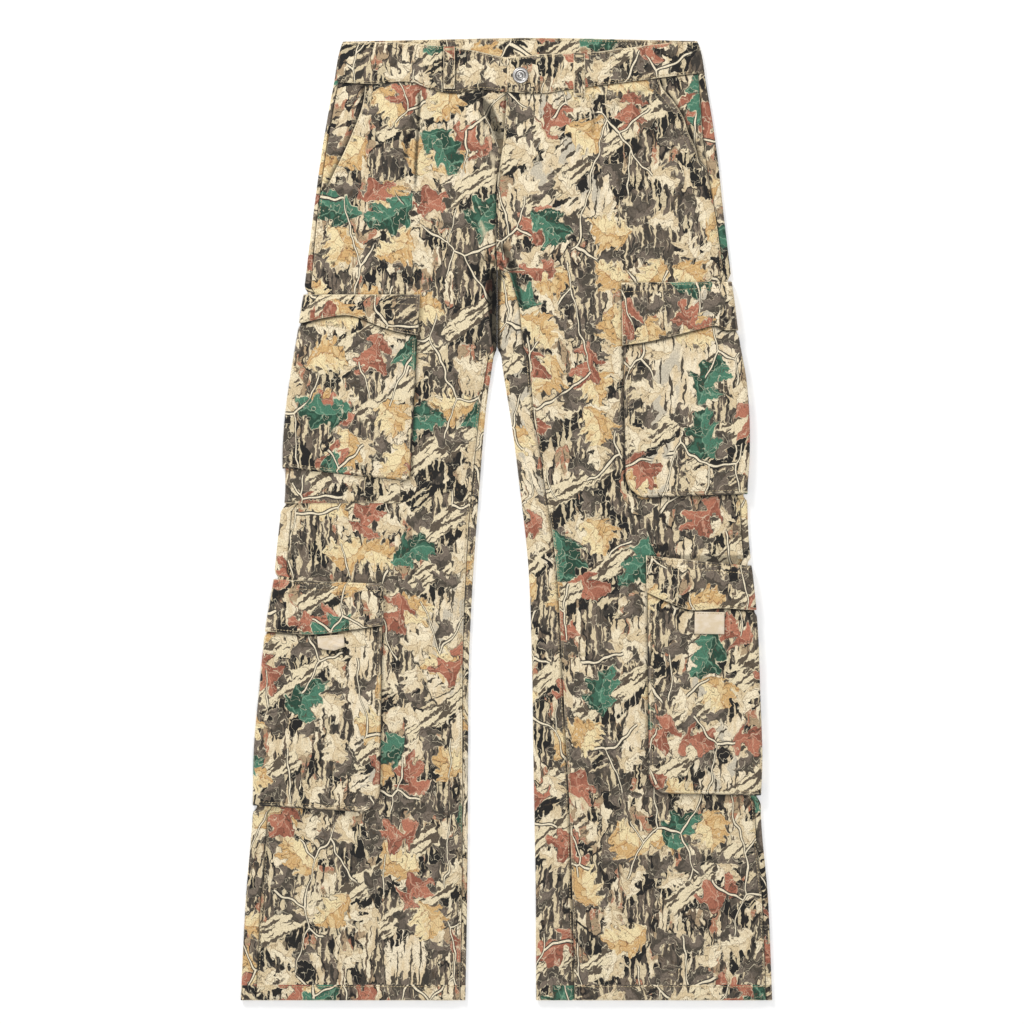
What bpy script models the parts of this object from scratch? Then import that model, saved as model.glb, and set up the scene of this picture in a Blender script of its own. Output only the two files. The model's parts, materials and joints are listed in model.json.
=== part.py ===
"""Cargo jeans laid flat, front up, on a table at z = 0.

X runs across, Y up from the hems to the waist, Z up from the table. Sizes below are in millimetres:
`across` is measured from the middle of the whole outline and `down` from the top of the waistband.
"right" and "left" are the wearer's, so the right leg lies on the -X side. Each piece of cloth is an open
sheet, computed row by row from the tables, that a Solidify modifier makes into a wall.
"""

import math

import bpy
import numpy as np

LENGTH = 1052.0  # top of the waistband to the hems
CLOTH = 1.2  # a wall of one cloth
BAND = 1.8  # waistband and flaps: two cloths pressed together
SEAM_GAP = 0.3  # between two pieces that are sewn together
WAIST_GAP = 0.6  # the same at the waist seam, which curves more
LIP = 4.4  # height of a leg's turned edge
TURN = 3.5  # how far a leg's edge takes to turn over
SHOULDER = 18.0  # from the turned edge to the leg's full height
CROTCH = 253.0  # down to the point where the four leg seams meet
SEAT_END = 337.0  # down to the lowest point of the seat, between the legs
CROTCH_ACROSS = -10.3
TUCK = 4.8  # a leg is this much narrower under its cargo pockets
PRESS_RUN = 6.0  # how far down it takes to be pressed in
UNDERLAP = 30.0  # of the right waistband end, under the left one
FLY_UNDERLAP = 15.0
FACING_UNDERLAP = 9.0
POCKET_MOUTH_RISE = 1.8
POCKET_BASE_RISE = 3.3
POCKET_TURN = 5.0
FLAP_HINGE = 14.0  # down from a flap's sewn line to its pocket's mouth
LAID_GAP = 0.4  # between a piece and what it lies on
LOOP_WIDTH = 12.5
LOOP_ARCH = 0.8
BUTTON_ACROSS, BUTTON_DOWN = 15.3, 42.0
BUTTON_STEPS = 28
TABLE_GAP = 0.5  # a pocket's side ends this far above the table

OUTSIDE = {"right": -1, "left": 1}


def table(names, *rows):
    """A table with named columns, as one array for each column."""
    return dict(zip(names.split(), np.array(rows, float).T))


OUTLINE = table(
    "down right left",
    (0, -177, 207),
    (6, -179.5, 209.5),
    (52, -189, 218.5),
    (113, -200, 228.4),
    (200, -212, 238.2),
    (288, -223, 249),
    (331, -229.5, 254.5),
    (375, -236, 262),
    (419, -241.5, 265.5),
    (462, -244.5, 265.5),
    (497, -245, 263.5),
    (549, -250, 265),
    (595, -255, 270),
    (637, -262, 274),
    (724, -271, 277.5),
    (789, -276.3, 279.5),
    (840, -277, 278),
    (942, -285, 286),
    (1052, -290.5, 290.5),
)
INSIDE = table(
    "down right left",
    (253, -20, -7.6),
    (337, -12.5, -6),
    (353, -14.7, -5),
    (397, -21.3, 1.6),
    (440, -25.6, 8.2),
    (484, -29, 13.6),
    (571, -35.4, 23.4),
    (680, -41, 27.8),
    (789, -42, 29.5),
    (942, -43, 32),
    (1052, -45, 32.5),
)
OUTSEAM_INSET = table(
    "down right left",
    (40, 5, 7),
    (120, 5, 13.5),
    (200, 5, 9),
    (290, 8, 8),
    (500, 12, 8),
    (840, 16.5, 7),
    (1052, 17, 7),
)
INSEAM_INSET = table(
    "down right left",
    (253, 4.6, 10.5),
    (259, 5, 14.5),
    (293, 5, 24),
    (353, 6, 30),
    (420, 7, 25.5),
    (530, 9, 29),
    (700, 6.5, 33),
    (830, 6, 38),
    (1052, 6, 42),
)
EDGE_AT_INSEAM = table(
    "down height turn shoulder",
    (250, 5.5, 2, 6),
    (264, 2.8, 1.6, 9),
    (330, 2.8, 1.6, 8),
    (352, LIP, TURN, SHOULDER),
    (1052, LIP, TURN, SHOULDER),
)
FULL_HEIGHT = table(
    "down height",
    (0, 5.8),
    (30, 6.7),
    (60, 6.3),
    (120, 5.7),
    (400, 5.6),
    (700, 5.3),
    (1052, 5.0),
)
WAIST_TOP = table(
    "across down",
    (-180, 5.5),
    (-124, 5.5),
    (-79, 8.7),
    (-38, 14),
    (0, 21.5),
    (39, 18.5),
    (84, 17.4),
    (133, 11.4),
    (184, 5.5),
    (212, 4.4),
)
BACK_TOP = table("across down", (-180, 4), (-60, 1.5), (20, 0), (120, 1.5), (212, 3.5))
WAIST_SEAM = table(
    "across down",
    (-191, 48),
    (-149, 51),
    (-100, 50),
    (-84, 56),
    (-58, 61),
    (-38, 57.5),
    (0, 59.4),
    (34, 61.5),
    (74, 56),
    (131, 49),
    (173, 43.6),
    (219, 37.5),
)
FLY = table(
    "down across",
    (15, 0.6),
    (60, 0),
    (115, -3.8),
    (155, -9.4),
    (200, -11.4),
    (253, CROTCH_ACROSS),
)
SEAT_SEAM = table("down across", (30, 14), (160, 2), (253, CROTCH_ACROSS))
POCKET_MOUTH = {
    "right": table(
        "down across",
        (50, -154),
        (73, -157),
        (100, -166.7),
        (143, -186.2),
        (166, -199),
        (176, -209),
    ),
    "left": table(
        "down across",
        (44, 166),
        (56, 170.5),
        (69, 181.5),
        (86, 192.5),
        (105, 199),
        (122, 207),
        (138, 211),
        (156, 226),
    ),
}
MOUTH_END = {"right": 168.0, "left": 143.0}

# Folds: ridges (height above zero) and troughs along straight stretches, each `width` to either side.
FOLDS = table(
    "across down to_across to_down width height",
    (-103, 72, -109, 165, 9, -1.6),
    (-88, 66, -97, 150, 9, 1.3),
    (-30, 68, -12, 104, 8, -1.5),
    (-40, 74, -24, 122, 9, 1.8),
    (97, 62, 99, 100, 7, -1.3),
    (122, 74, 150, 60, 9, 1.2),
    (-14, 210, 4, 246, 8, 1.2),
    (16, 262, 27, 330, 8, 1.3),
    (92, 33, 150, 22, 6, 0.9),
    (-60, 215, -25, 262, 12, -1.0),
)

# Cargo pockets: `inner` is the edge across the front of the leg, `base` the lower end.
POCKETS = {
    "thigh_right": {
        "hinge": (281, 281),
        "inner": (-95.5, -105),
        "base": (484.5, 471),
        "corner": 8,
        "lip": table(
            "share down", (0, 326), (0.19, 321.5), (0.33, 316), (0.6, 304), (0.83, 307), (1, 312)
        ),
    },
    "thigh_left": {
        "hinge": (268, 267),
        "inner": (126.5, 130),
        "base": (503, 499),
        "corner": 20,
        "lip": table("share down", (0, 337), (0.2, 333.5), (0.44, 327), (0.7, 319), (1, 315)),
    },
    "calf_right": {
        "hinge": (597, 592),
        "inner": (-135, -138),
        "base": (846, 839),
        "corner": 24,
        "lip": table("share down", (0, 642), (0.25, 646.5), (0.6, 652), (1, 649)),
    },
    "calf_left": {
        "hinge": (566, 577),
        "inner": (153.5, 155),
        "base": (826, 828),
        "corner": 22,
        "lip": table("share down", (0, 606), (0.17, 615), (0.4, 625), (0.7, 623.5), (1, 625.5)),
    },
}
GUSSET_DOWN = (466.0, 509.0)
GUSSET_INNER = -116.0
TABS = {
    "right": {"across": -192, "down": 653, "width": 29, "length": 17, "turn": 4},
    "left": {"across": 221.5, "down": 627.5, "width": 32.5, "length": 24, "turn": 1},
}


def smooth(rows, name, at, key="down"):
    """A column of a table, read at `at` from a smooth curve through its rows."""
    knots, values = rows[key], rows[name]
    slopes = np.gradient(values, knots)
    at = np.clip(at, knots[0], knots[-1])
    row = np.clip(np.searchsorted(knots, at) - 1, 0, len(knots) - 2)
    step = knots[row + 1] - knots[row]
    t = (at - knots[row]) / step
    ends = (1 + 2 * t) * (1 - t) ** 2 * values[row] + t * t * (3 - 2 * t) * values[row + 1]
    bends = t * (1 - t) ** 2 * slopes[row] + t * t * (t - 1) * slopes[row + 1]
    return ends + step * bends


def between(rows, name, at, key="down"):
    """A column of a table, read at `at` along straight lines between its rows."""
    return np.interp(at, rows[key], rows[name])


def ease(share):
    """0 below 0, 1 above 1, and a smooth step between."""
    share = np.clip(share, 0, 1)
    return share * share * (3 - 2 * share)


def pressed_rows(leg):
    """For each cargo pocket of a leg, the four rows between which it presses the leg's side in."""
    for name, pocket in POCKETS.items():
        if name.endswith(leg):
            start, end = pocket["hinge"][1], pocket["base"][1]
            if name == "thigh_right":
                end = GUSSET_DOWN[1]
            yield start - PRESS_RUN - 2, start - 2, end + 2, end + 2 + PRESS_RUN


def side(leg, down):
    """The outer edge of a leg's own cloth, which its cargo pockets press in."""
    pressed = sum(np.interp(down, rows, [0, 1, 1, 0]) for rows in pressed_rows(leg))
    return smooth(OUTLINE, leg, down) - OUTSIDE[leg] * TUCK * pressed


def panel_rows(leg):
    """Rows shared by a leg's front and back, so that their seams follow the same corners."""
    hips = np.concatenate([np.linspace(48, 180, 11), np.linspace(196, CROTCH, 4)])
    seat = [CROTCH + 1, CROTCH + 2, 259, 268, 285, 312, SEAT_END, 345, 353]
    turning = [row for rows in pressed_rows(leg) for row in rows]
    even = np.linspace(385, LENGTH, 13)
    apart = np.abs(even[:, None] - np.array(turning)).min(axis=1) > PRESS_RUN
    return np.sort(np.concatenate([hips, seat, [r for r in turning if r > 353], even[apart]]))


def inner_edge(leg, down):
    """The inner edge of a leg: the seat seam down to the seat's lowest point, then the inside leg."""
    seat = CROTCH_ACROSS + OUTSIDE[leg] * SEAM_GAP / 2
    apart = ease((down - SEAT_END) / 13)
    return seat + apart * (smooth(INSIDE, leg, down) - seat)


def outseam(leg, down):
    return side(leg, down) - OUTSIDE[leg] * smooth(OUTSEAM_INSET, leg, down)


def inseam(leg, down):
    return inner_edge(leg, down) + OUTSIDE[leg] * between(INSEAM_INSET, leg, down)


def folds(across, down):
    """The height that the ridges and troughs add."""
    total = np.zeros(np.broadcast(across, down).shape)
    for x0, y0, x1, y1, width, height in zip(*FOLDS.values()):
        long_x, long_y = x1 - x0, y1 - y0
        along = ((across - x0) * long_x + (down - y0) * long_y) / (long_x**2 + long_y**2)
        along = np.clip(along, 0, 1)
        off = np.hypot(across - x0 - along * long_x, down - y0 - along * long_y)
        total += height * np.exp(-((off / width) ** 2))
    return total


def full(across, down):
    """The height of the jeans away from their edges."""
    return smooth(FULL_HEIGHT, "height", down) + folds(across, down)


def top(leg, across, down):
    """The height of the upper cloth of a leg or of its half of the hips."""
    middle = full(across, down)
    outer = (np.abs(across - side(leg, down)) - TURN) / SHOULDER
    height = LIP + (middle - LIP) * ease(outer)
    lip = between(EDGE_AT_INSEAM, "height", down)
    turn = between(EDGE_AT_INSEAM, "turn", down)
    shoulder = between(EDGE_AT_INSEAM, "shoulder", down)
    inner = (np.abs(across - inner_edge(leg, down)) - turn) / shoulder
    valley = lip + (middle - lip) * ease(inner)
    return np.where(down < 250, height, np.minimum(height, valley))


def place(across, down, height):
    """Points in metres, in the part's frame, from millimetres across, down and up."""
    across, down, height = np.broadcast_arrays(across, down, height)
    return np.stack([across, LENGTH / 2 - down, height], axis=-1) / 1000


def material(name, colour, roughness, metallic=0.0):
    made = bpy.data.materials.get(name)
    if made is None:
        made = bpy.data.materials.new(name)
        made.use_nodes = True
        shader = made.node_tree.nodes["Principled BSDF"]
        shader.inputs["Base Color"].default_value = (*colour, 1)
        shader.inputs["Roughness"].default_value = roughness
        shader.inputs["Metallic"].default_value = metallic
    return made


def mesh_object(name, mesh, finish):
    obj = bpy.data.objects.new(name, mesh)
    bpy.data.collections["cargo_jeans"].objects.link(obj)
    mesh.materials.append(finish)
    mesh.shade_smooth()
    mesh.set_sharp_from_angle(angle=math.radians(40))
    return obj


def sheet(name, points, thickness=CLOTH, kept=None, finish=None):
    """A wall of cloth below a grid of points, given as rows down and columns across in +X order.

    `kept` says which cells of the grid are cloth; the rest are left out.
    """
    rows, columns = points.shape[:2]
    index = np.arange(rows * columns).reshape(rows, columns)
    corners = [index[:-1, :-1], index[1:, :-1], index[1:, 1:], index[:-1, 1:]]
    cells = np.stack(corners, axis=-1)
    if kept is not None:
        cells = cells[kept]
    cells = cells.reshape(-1, 4)
    used, cells = np.unique(cells, return_inverse=True)
    mesh = bpy.data.meshes.new(name)
    mesh.from_pydata(points.reshape(-1, 3)[used], [], cells.reshape(-1, 4))
    obj = mesh_object(name, mesh, finish or material("printed_canvas", (0.42, 0.34, 0.24), 0.85))
    wall = obj.modifiers.new("wall", "SOLIDIFY")
    wall.thickness = thickness / 1000
    wall.offset = -1
    return obj


def grid_between(rows, columns, left, right, start=None):
    """Across and down for a grid whose sides follow `left` and `right`, functions of down.

    `start` is a function of across for the top edge: the rows below it are shifted less and less.
    """
    down = np.repeat(rows[:, None], len(columns), axis=1)
    for _ in range(2):
        across = left(down) + columns * (right(down) - left(down))
        if start is not None:
            fading = np.clip(1 - (rows - rows[0]) / 60, 0, 1)[:, None]
            down = rows[:, None] + (start(across) - rows[0]) * fading
    return left(down) + columns * (right(down) - left(down)), down


def waist_seam(across):
    return smooth(WAIST_SEAM, "down", across, key="across")


def back_waist_seam(across):
    """The waist seam of the back, a straight line that meets the front's at both sides."""
    return np.interp(across, WAIST_SEAM["across"][[0, -1]], WAIST_SEAM["down"][[0, -1]])


def front(leg):
    """A front panel: fly or inside leg on one side, pocket mouth or side seam on the other."""
    out = OUTSIDE[leg]

    def outer(down):
        seam = outseam(leg, down)
        mouth = smooth(POCKET_MOUTH[leg], "across", down)
        cut = np.where(down < MOUTH_END[leg], np.minimum(out * mouth, out * seam) * out, seam)
        return cut - out * SEAM_GAP / 2

    def inner(down):
        underlap = np.interp(down, [180, 218], [FLY_UNDERLAP, -SEAM_GAP / 2])
        fly = smooth(FLY, "across", down) + (underlap if leg == "right" else SEAM_GAP / 2)
        return np.where(down <= CROTCH + 0.5, fly, inseam(leg, down) + out * SEAM_GAP / 2)

    columns = np.linspace(0, 1, 13)
    left, right = (outer, inner) if leg == "right" else (inner, outer)
    across, down = grid_between(
        panel_rows(leg), columns, left, right, lambda x: waist_seam(x) + WAIST_GAP
    )
    height = top(leg, across, down)
    if leg == "right":
        fly = smooth(FLY, "across", down)
        tucked = ease((across - fly + 12) / 10) * ease((CROTCH - 3 - down) / 26)
        height = height - (CLOTH + 0.8) * tucked
    return sheet(f"front_{leg}", place(across, down, height))


def turned_edge(edge, leg_side, height, turn, steps):
    """Across and height round a leg's edge, from its top to the table, `leg_side` being -1 or 1."""
    angles = np.linspace(math.pi / 2, -math.pi / 2, steps)
    across = edge[:, None] + leg_side * turn[:, None] * (np.cos(angles) - 1)
    return across, height[:, None] / 2 * (1 + np.sin(angles))


def back(leg):
    """A back panel: flat on the table, and turned round the leg's edges up to its seams."""
    out = OUTSIDE[leg]
    rows = panel_rows(leg)
    first_leg_row = int(np.sum(rows <= CROTCH)) + 1

    def edges(down):
        """The section at `down`, from the outer seam round under the leg to the inner seam."""
        outer, inner = side(leg, down), inner_edge(leg, down)
        seam = outseam(leg, down) + out * SEAM_GAP / 2
        flap = np.linspace(seam, outer - out * TURN, 3, axis=1)[:, :-1]
        flap_down = np.repeat(down[:, None], flap.shape[1], axis=1)
        turn = np.full(len(down), TURN)
        lip = top(leg, outer - out * TURN, down)
        round_x, round_z = turned_edge(outer, out, lip, turn, 6)
        inner_turn = between(EDGE_AT_INSEAM, "turn", down)
        inner_lip = top(leg, inner + out * inner_turn, down)
        end_x, end_z = turned_edge(inner, -out, inner_lip, inner_turn, 6)
        seat = smooth(SEAT_SEAM, "across", down) + out * SEAM_GAP / 2
        stop = np.where(down <= CROTCH, seat, end_x[:, -1])
        floor = np.linspace(round_x[:, -1], stop, 2, axis=1)[:, 1:]
        inner_seam = inseam(leg, down) - out * SEAM_GAP / 2
        share = np.array([0.4, 1])
        wrap = end_x[:, :1] + (inner_seam[:, None] - end_x[:, :1]) * share
        wrap_down = np.repeat(down[:, None], len(share), axis=1)
        across = np.hstack([flap, round_x, floor, end_x[:, -2::-1], wrap])
        height = np.hstack(
            [
                top(leg, flap, flap_down),
                round_z,
                np.zeros(floor.shape),
                end_z[:, -2::-1],
                top(leg, wrap, wrap_down),
            ]
        )
        return across, height, flap.shape[1] + round_x.shape[1] + floor.shape[1]

    across, height, floor_end = edges(rows)
    down = np.repeat(rows[:, None], across.shape[1], axis=1)
    for _ in range(2):
        fading = np.clip(1 - (rows - rows[0]) / 60, 0, 1)[:, None]
        down = rows[:, None] + (back_waist_seam(across) + SEAM_GAP - rows[0]) * fading
    columns = [edges(down[:, column]) for column in range(across.shape[1])]
    across = np.stack([found[0][:, column] for column, found in enumerate(columns)], axis=1)
    height = np.stack([found[1][:, column] for column, found in enumerate(columns)], axis=1)
    kept = np.ones((len(rows) - 1, across.shape[1] - 1), bool)
    kept[:first_leg_row, floor_end - 1 :] = False
    points = place(across, down, height)
    if leg == "left":
        points, kept = points[:, ::-1], kept[:, ::-1]
    return sheet(f"back_{leg}", points[:, ::-1], kept=kept[:, ::-1])


def pocket_facing(leg):
    """The cloth seen in a front pocket's mouth, under the front panel's edge."""
    out = OUTSIDE[leg]

    def outer(down):
        return outseam(leg, down) - out * SEAM_GAP / 2

    def inner(down):
        mouth = smooth(POCKET_MOUTH[leg], "across", down)
        return np.minimum(out * mouth, out * outer(down)) * out - out * FACING_UNDERLAP

    left, right = (outer, inner) if leg == "right" else (inner, outer)
    rows = np.linspace(48, MOUTH_END[leg] + 6, 11)
    across, down = grid_between(
        rows, np.linspace(0, 1, 6), left, right, lambda x: waist_seam(x) + WAIST_GAP
    )
    height = top(leg, across, down) - CLOTH - 0.5
    return sheet(f"pocket_facing_{leg}", place(across, down, height))


def band_side(leg):
    """Where the waistband's back length meets its front one."""
    return {"right": -168.0, "left": 200.0}[leg]


def waistband_front(leg):
    """A front length of the waistband; the right one's end lies under the left one's."""
    fly = FLY["across"][0]
    if leg == "right":
        across = np.linspace(band_side(leg) + SEAM_GAP / 2, fly + UNDERLAP, 22)
    else:
        across = np.linspace(fly, band_side(leg) - SEAM_GAP / 2, 22)
    start = smooth(WAIST_TOP, "down", across, key="across")
    down = start + (waist_seam(across) - start) * np.linspace(0, 1, 5)[:, None]
    height = top(leg, across + 0 * down, down)
    if leg == "right":
        height = height - (BAND + 0.4) * ease((across - fly + 14) / 12)
    return sheet(f"waistband_{leg}", place(across, down, height), thickness=BAND)


def waistband_back():
    """The back length, flat on the table and turned up at both sides to the front ones."""
    rows = np.linspace(0, 1, 5)[:, None]
    pieces = []
    for leg in ("right", "left"):
        out = OUTSIDE[leg]
        edge = between(OUTLINE, leg, np.full(1, 25.0))
        turn_x, turn_z = turned_edge(edge, out, np.full(1, LIP), np.full(1, TURN), 9)
        flat = np.linspace(band_side(leg) + out * SEAM_GAP / 2, turn_x[0, 0], 3)[:-1]
        floor = np.linspace(turn_x[0, -1], 14.0, 6)[1:-1]
        across = np.concatenate([flat, turn_x[0], floor])
        start = smooth(BACK_TOP, "down", across, key="across")
        down = start + (back_waist_seam(across) - start) * rows
        moved = across + smooth(OUTLINE, leg, down) - edge
        far = ease((out * (edge - across) - 60) / 60)
        moved = moved + (across - moved) * far
        moved[:, 0] = flat[0]
        upper = top(leg, moved, down)
        height = np.zeros(moved.shape)
        height[:, :2] = upper[:, :2]
        lip = top(leg, moved[:, 2:3], down[:, 2:3])
        height[:, 2 : 2 + 9] = lip * turn_z / LIP
        pieces.append(place(moved, down, height))
    right, left = pieces
    points = np.concatenate([right, left[:, ::-1]], axis=1)
    return sheet("waistband_back", points[:, ::-1], thickness=BAND)


def belt_loop(leg, across, start, end):
    """A strap over the waistband, from `start` to `end` down, that stands off a little between."""
    columns = across + np.linspace(-0.5, 0.5, 4) * LOOP_WIDTH
    share = np.linspace(0, 1, 11)[:, None]
    down = start + (end - start) * share + 0 * columns
    arch = LOOP_ARCH * np.sin(math.pi * share)
    height = top(leg, columns + 0 * down, down) + LAID_GAP + CLOTH + arch
    return sheet(f"belt_loop_{leg}", place(columns, down, height))


def waist_button():
    """A turned metal button with a rolled rim and a dished middle."""
    rim = [
        (0.0, 1.9),
        (3.0, 1.9),
        (3.6, 1.2),
        (5.0, 1.2),
        (5.8, 2.3),
        (7.2, 2.7),
        (8.4, 2.2),
        (9.0, 1.3),
        (8.6, 0.4),
        (7.6, 0.0),
        (0.0, 0.0),
    ]
    mesh = bpy.data.meshes.new("waist_button")
    ends = [(i, i + 1) for i in range(len(rim) - 1)]
    mesh.from_pydata([(r / 1000, 0, z / 1000) for r, z in rim], ends, [])
    obj = mesh_object("waist_button", mesh, material("button_metal", (0.55, 0.54, 0.51), 0.3, 1.0))
    turned = obj.modifiers.new("turned", "SCREW")
    turned.steps = turned.render_steps = BUTTON_STEPS
    turned.use_merge_vertices = True
    turned.merge_threshold = 1e-5
    angles = np.linspace(0, 2 * math.pi, 13)
    below = top("left", BUTTON_ACROSS + 9 * np.cos(angles), BUTTON_DOWN + 9 * np.sin(angles))
    centre = place(BUTTON_ACROSS, BUTTON_DOWN, below.max() + SEAM_GAP)
    obj.location = tuple(centre)
    return obj


def pocket_outer(leg, down, cover):
    """The outer edge of what wraps a leg's side; `cover` is how far it lies inside the outline."""
    return smooth(OUTLINE, leg, down) - OUTSIDE[leg] * cover


def pocket_rise(share):
    """How far a bellows pocket stands out, from its mouth (share 0) to its base (1)."""
    return POCKET_MOUTH_RISE + (POCKET_BASE_RISE - POCKET_MOUTH_RISE) * ease(share / 0.45)


def wrapped(leg, across, down, height, outer, outer_down):
    """Columns from a face's outer end round the leg's side, down to just above the table."""
    out = OUTSIDE[leg]
    angles = np.radians([30, 60, 90])
    face = height[:, -1:]
    turn_x = outer[:, None] + out * POCKET_TURN * (np.sin(angles) - 1)
    turn_z = face - POCKET_TURN * (1 - np.cos(angles))
    end_z = np.full((len(outer), 1), TABLE_GAP)
    drop_z = np.hstack([(turn_z[:, -1:] + end_z) / 2, end_z])
    drop_x = np.repeat(outer[:, None], 2, axis=1)
    turned_down = np.repeat(outer_down[:, None], len(angles) + 2, axis=1)
    return (
        np.hstack([across, turn_x, drop_x]),
        np.hstack([down, turned_down]),
        np.hstack([height, turn_z, drop_z]),
    )


def draw(name, leg, across, down, height, thickness=CLOTH, finish=None):
    points = place(across, down, height)
    return sheet(name, points if leg == "left" else points[:, ::-1], thickness, finish=finish)


def near_edge(first, last, count):
    """Places from 0 to 1 that crowd in the first few millimetres and then spread evenly."""
    return np.concatenate([np.array(first) / last, np.linspace(first[-1] / last, 1, count + 1)[1:]])


def cargo_pocket(name):
    """A bellows pocket's body: it rises from the leg at its inner edge and base, and wraps the side."""
    place_name, leg = name.split("_")
    out, spec = OUTSIDE[leg], POCKETS[name]
    mouth = max(spec["hinge"]) + FLAP_HINGE
    lowest = max(spec["base"])
    depth = lowest - mouth
    lip_down = spec["lip"]["down"][-1]
    below = np.linspace(lip_down + 7, lowest - 14, 5)
    rows = np.concatenate([[mouth, lip_down + 2], below, lowest - np.array([7, 3.6, 2, 0.9, 0])])
    radius = spec["corner"]

    def inner(down):
        edge = np.interp(down, [mouth, lowest], spec["inner"])
        into = np.clip(down - (lowest - radius), 0, radius)
        return edge + out * (radius - np.sqrt(radius**2 - into**2)) * 0.97

    cover = np.interp(rows, [lip_down + 2, lip_down + 7], [BAND + 0.5, 0])
    outer = pocket_outer(leg, rows, cover)
    start, end = inner(rows)[:, None], (outer - out * POCKET_TURN)[:, None]
    columns = near_edge([0, 1.1, 2.4, 4, 9], 110, 4)
    across = start + columns * (end - start)
    sag = np.array([spec["base"][0] - lowest, spec["base"][1] - lowest])
    share_down = ease((rows - mouth) / depth)[:, None]
    down = rows[:, None] + (sag[0] + columns * (sag[1] - sag[0])) * share_down
    outer_down = rows + sag[1] * share_down[:, 0]
    from_edge = np.abs(across - start)
    from_base = (lowest - rows)[:, None]
    walls = ease((from_edge + 0.3) / 3.2) * ease((from_base + 0.3) / 3.2)
    rise = pocket_rise((rows - mouth)[:, None] / depth) * walls
    lift = CLOTH + 0.5 if name == "thigh_right" else 0.0
    foot = lift * ease((down - GUSSET_DOWN[0] + 8) / 6)
    height = full(across, down) + LAID_GAP + CLOTH + np.maximum(rise, foot)
    body = wrapped(leg, across, down, height, outer, outer_down)
    return draw(f"{place_name}_pocket_{leg}", leg, *body)


def cargo_flap(name):
    """A pocket's flap: sewn along its top, it climbs over the pocket's mouth and wraps the side."""
    place_name, leg = name.split("_")
    out, spec = OUTSIDE[leg], POCKETS[name]
    columns = np.linspace(0, 1, 8)
    hinge = np.interp(columns, [0, 1], spec["hinge"])
    lip = smooth(spec["lip"], "down", columns, key="share")
    share = np.array([0, 4, 8, 12, 16, 25, 37, 50]) / 50
    down = hinge + (lip - hinge) * share[:, None]
    outer = pocket_outer(leg, down[:, -1], 0.0)
    ends = [min(spec["hinge"]), max(spec["base"])]
    start = (np.interp(down[:, 0], ends, spec["inner"]) - out * 1.2)[:, None]
    across = start + columns * ((outer - out * POCKET_TURN)[:, None] - start)
    mouth = max(spec["hinge"]) + FLAP_HINGE
    depth = max(spec["base"]) - mouth
    climb = ease((down - hinge + 1) / (mouth - hinge - 2))
    over = CLOTH + 0.5 + pocket_rise(np.clip((down - mouth) / depth, 0, 1))
    height = full(across, down) + LAID_GAP + BAND + climb * over
    body = wrapped(leg, across, down, height, outer, down[:, -1])
    return draw(f"{place_name}_flap_{leg}", leg, *body, thickness=BAND)


def thigh_gusset():
    """The bellows strip below the right thigh pocket, flat on the leg and round its side."""
    leg, out = "right", OUTSIDE["right"]
    rows = np.linspace(*GUSSET_DOWN, 5)
    outer = pocket_outer(leg, rows, BAND + 1.2)
    end = (outer - out * POCKET_TURN)[:, None]
    across = GUSSET_INNER + np.linspace(0, 1, 9) * (end - GUSSET_INNER)
    down = rows[:, None] + 0 * across
    height = full(across, down) + LAID_GAP + CLOTH
    body = wrapped(leg, across, down, height, outer, rows)
    return draw("thigh_gusset_right", leg, *body)


def pull_tab(leg):
    """A short webbing tab that lies on a calf pocket, below the flap's edge."""
    spec, tab = POCKETS[f"calf_{leg}"], TABS[leg]
    mouth = max(spec["hinge"]) + FLAP_HINGE
    depth = max(spec["base"]) - mouth
    spread = np.linspace(-0.5, 0.5, 5) * tab["width"]
    fall = np.linspace(0, 1, 5)[:, None] * tab["length"]
    angle = math.radians(tab["turn"])
    across = tab["across"] + spread * math.cos(angle) - fall * math.sin(angle)
    down = tab["down"] + spread * math.sin(angle) + fall * math.cos(angle)
    rise = pocket_rise(np.clip((down - mouth) / depth, 0, 1))
    height = full(across, down) + 2 * (LAID_GAP) + CLOTH + rise + BAND
    finish = material("webbing", (0.76, 0.62, 0.43), 0.8)
    return sheet(f"pull_tab_{leg}", place(across, down, height), BAND, finish=finish)


def main():
    for obj in list(bpy.data.objects):
        bpy.data.objects.remove(obj)
    collection = bpy.data.collections.new("cargo_jeans")
    bpy.context.scene.collection.children.link(collection)
    for leg in ("right", "left"):
        front(leg)
        back(leg)
        pocket_facing(leg)
        waistband_front(leg)
        pull_tab(leg)
    waistband_back()
    belt_loop("right", -62.5, 10.5, 56.5)
    belt_loop("left", 79.5, 18.0, 65.5)
    waist_button()
    for name in POCKETS:
        cargo_pocket(name)
        cargo_flap(name)
    thigh_gusset()


main()
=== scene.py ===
"""Cargo jeans laid flat, front up: cloth, print, seams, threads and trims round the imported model.

Every piece of cloth is a surface worked out on a grid of rows down and columns across, in
millimetres: `across` from the middle of the outline, `down` from the top of the waistband, and
`height` above the table. "right" and "left" are the wearer's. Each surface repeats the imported
piece's own form, with creases, seams and rounded edges added, and a Solidify modifier gives it the
thickness of the cloth.
"""

import json
import math

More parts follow.
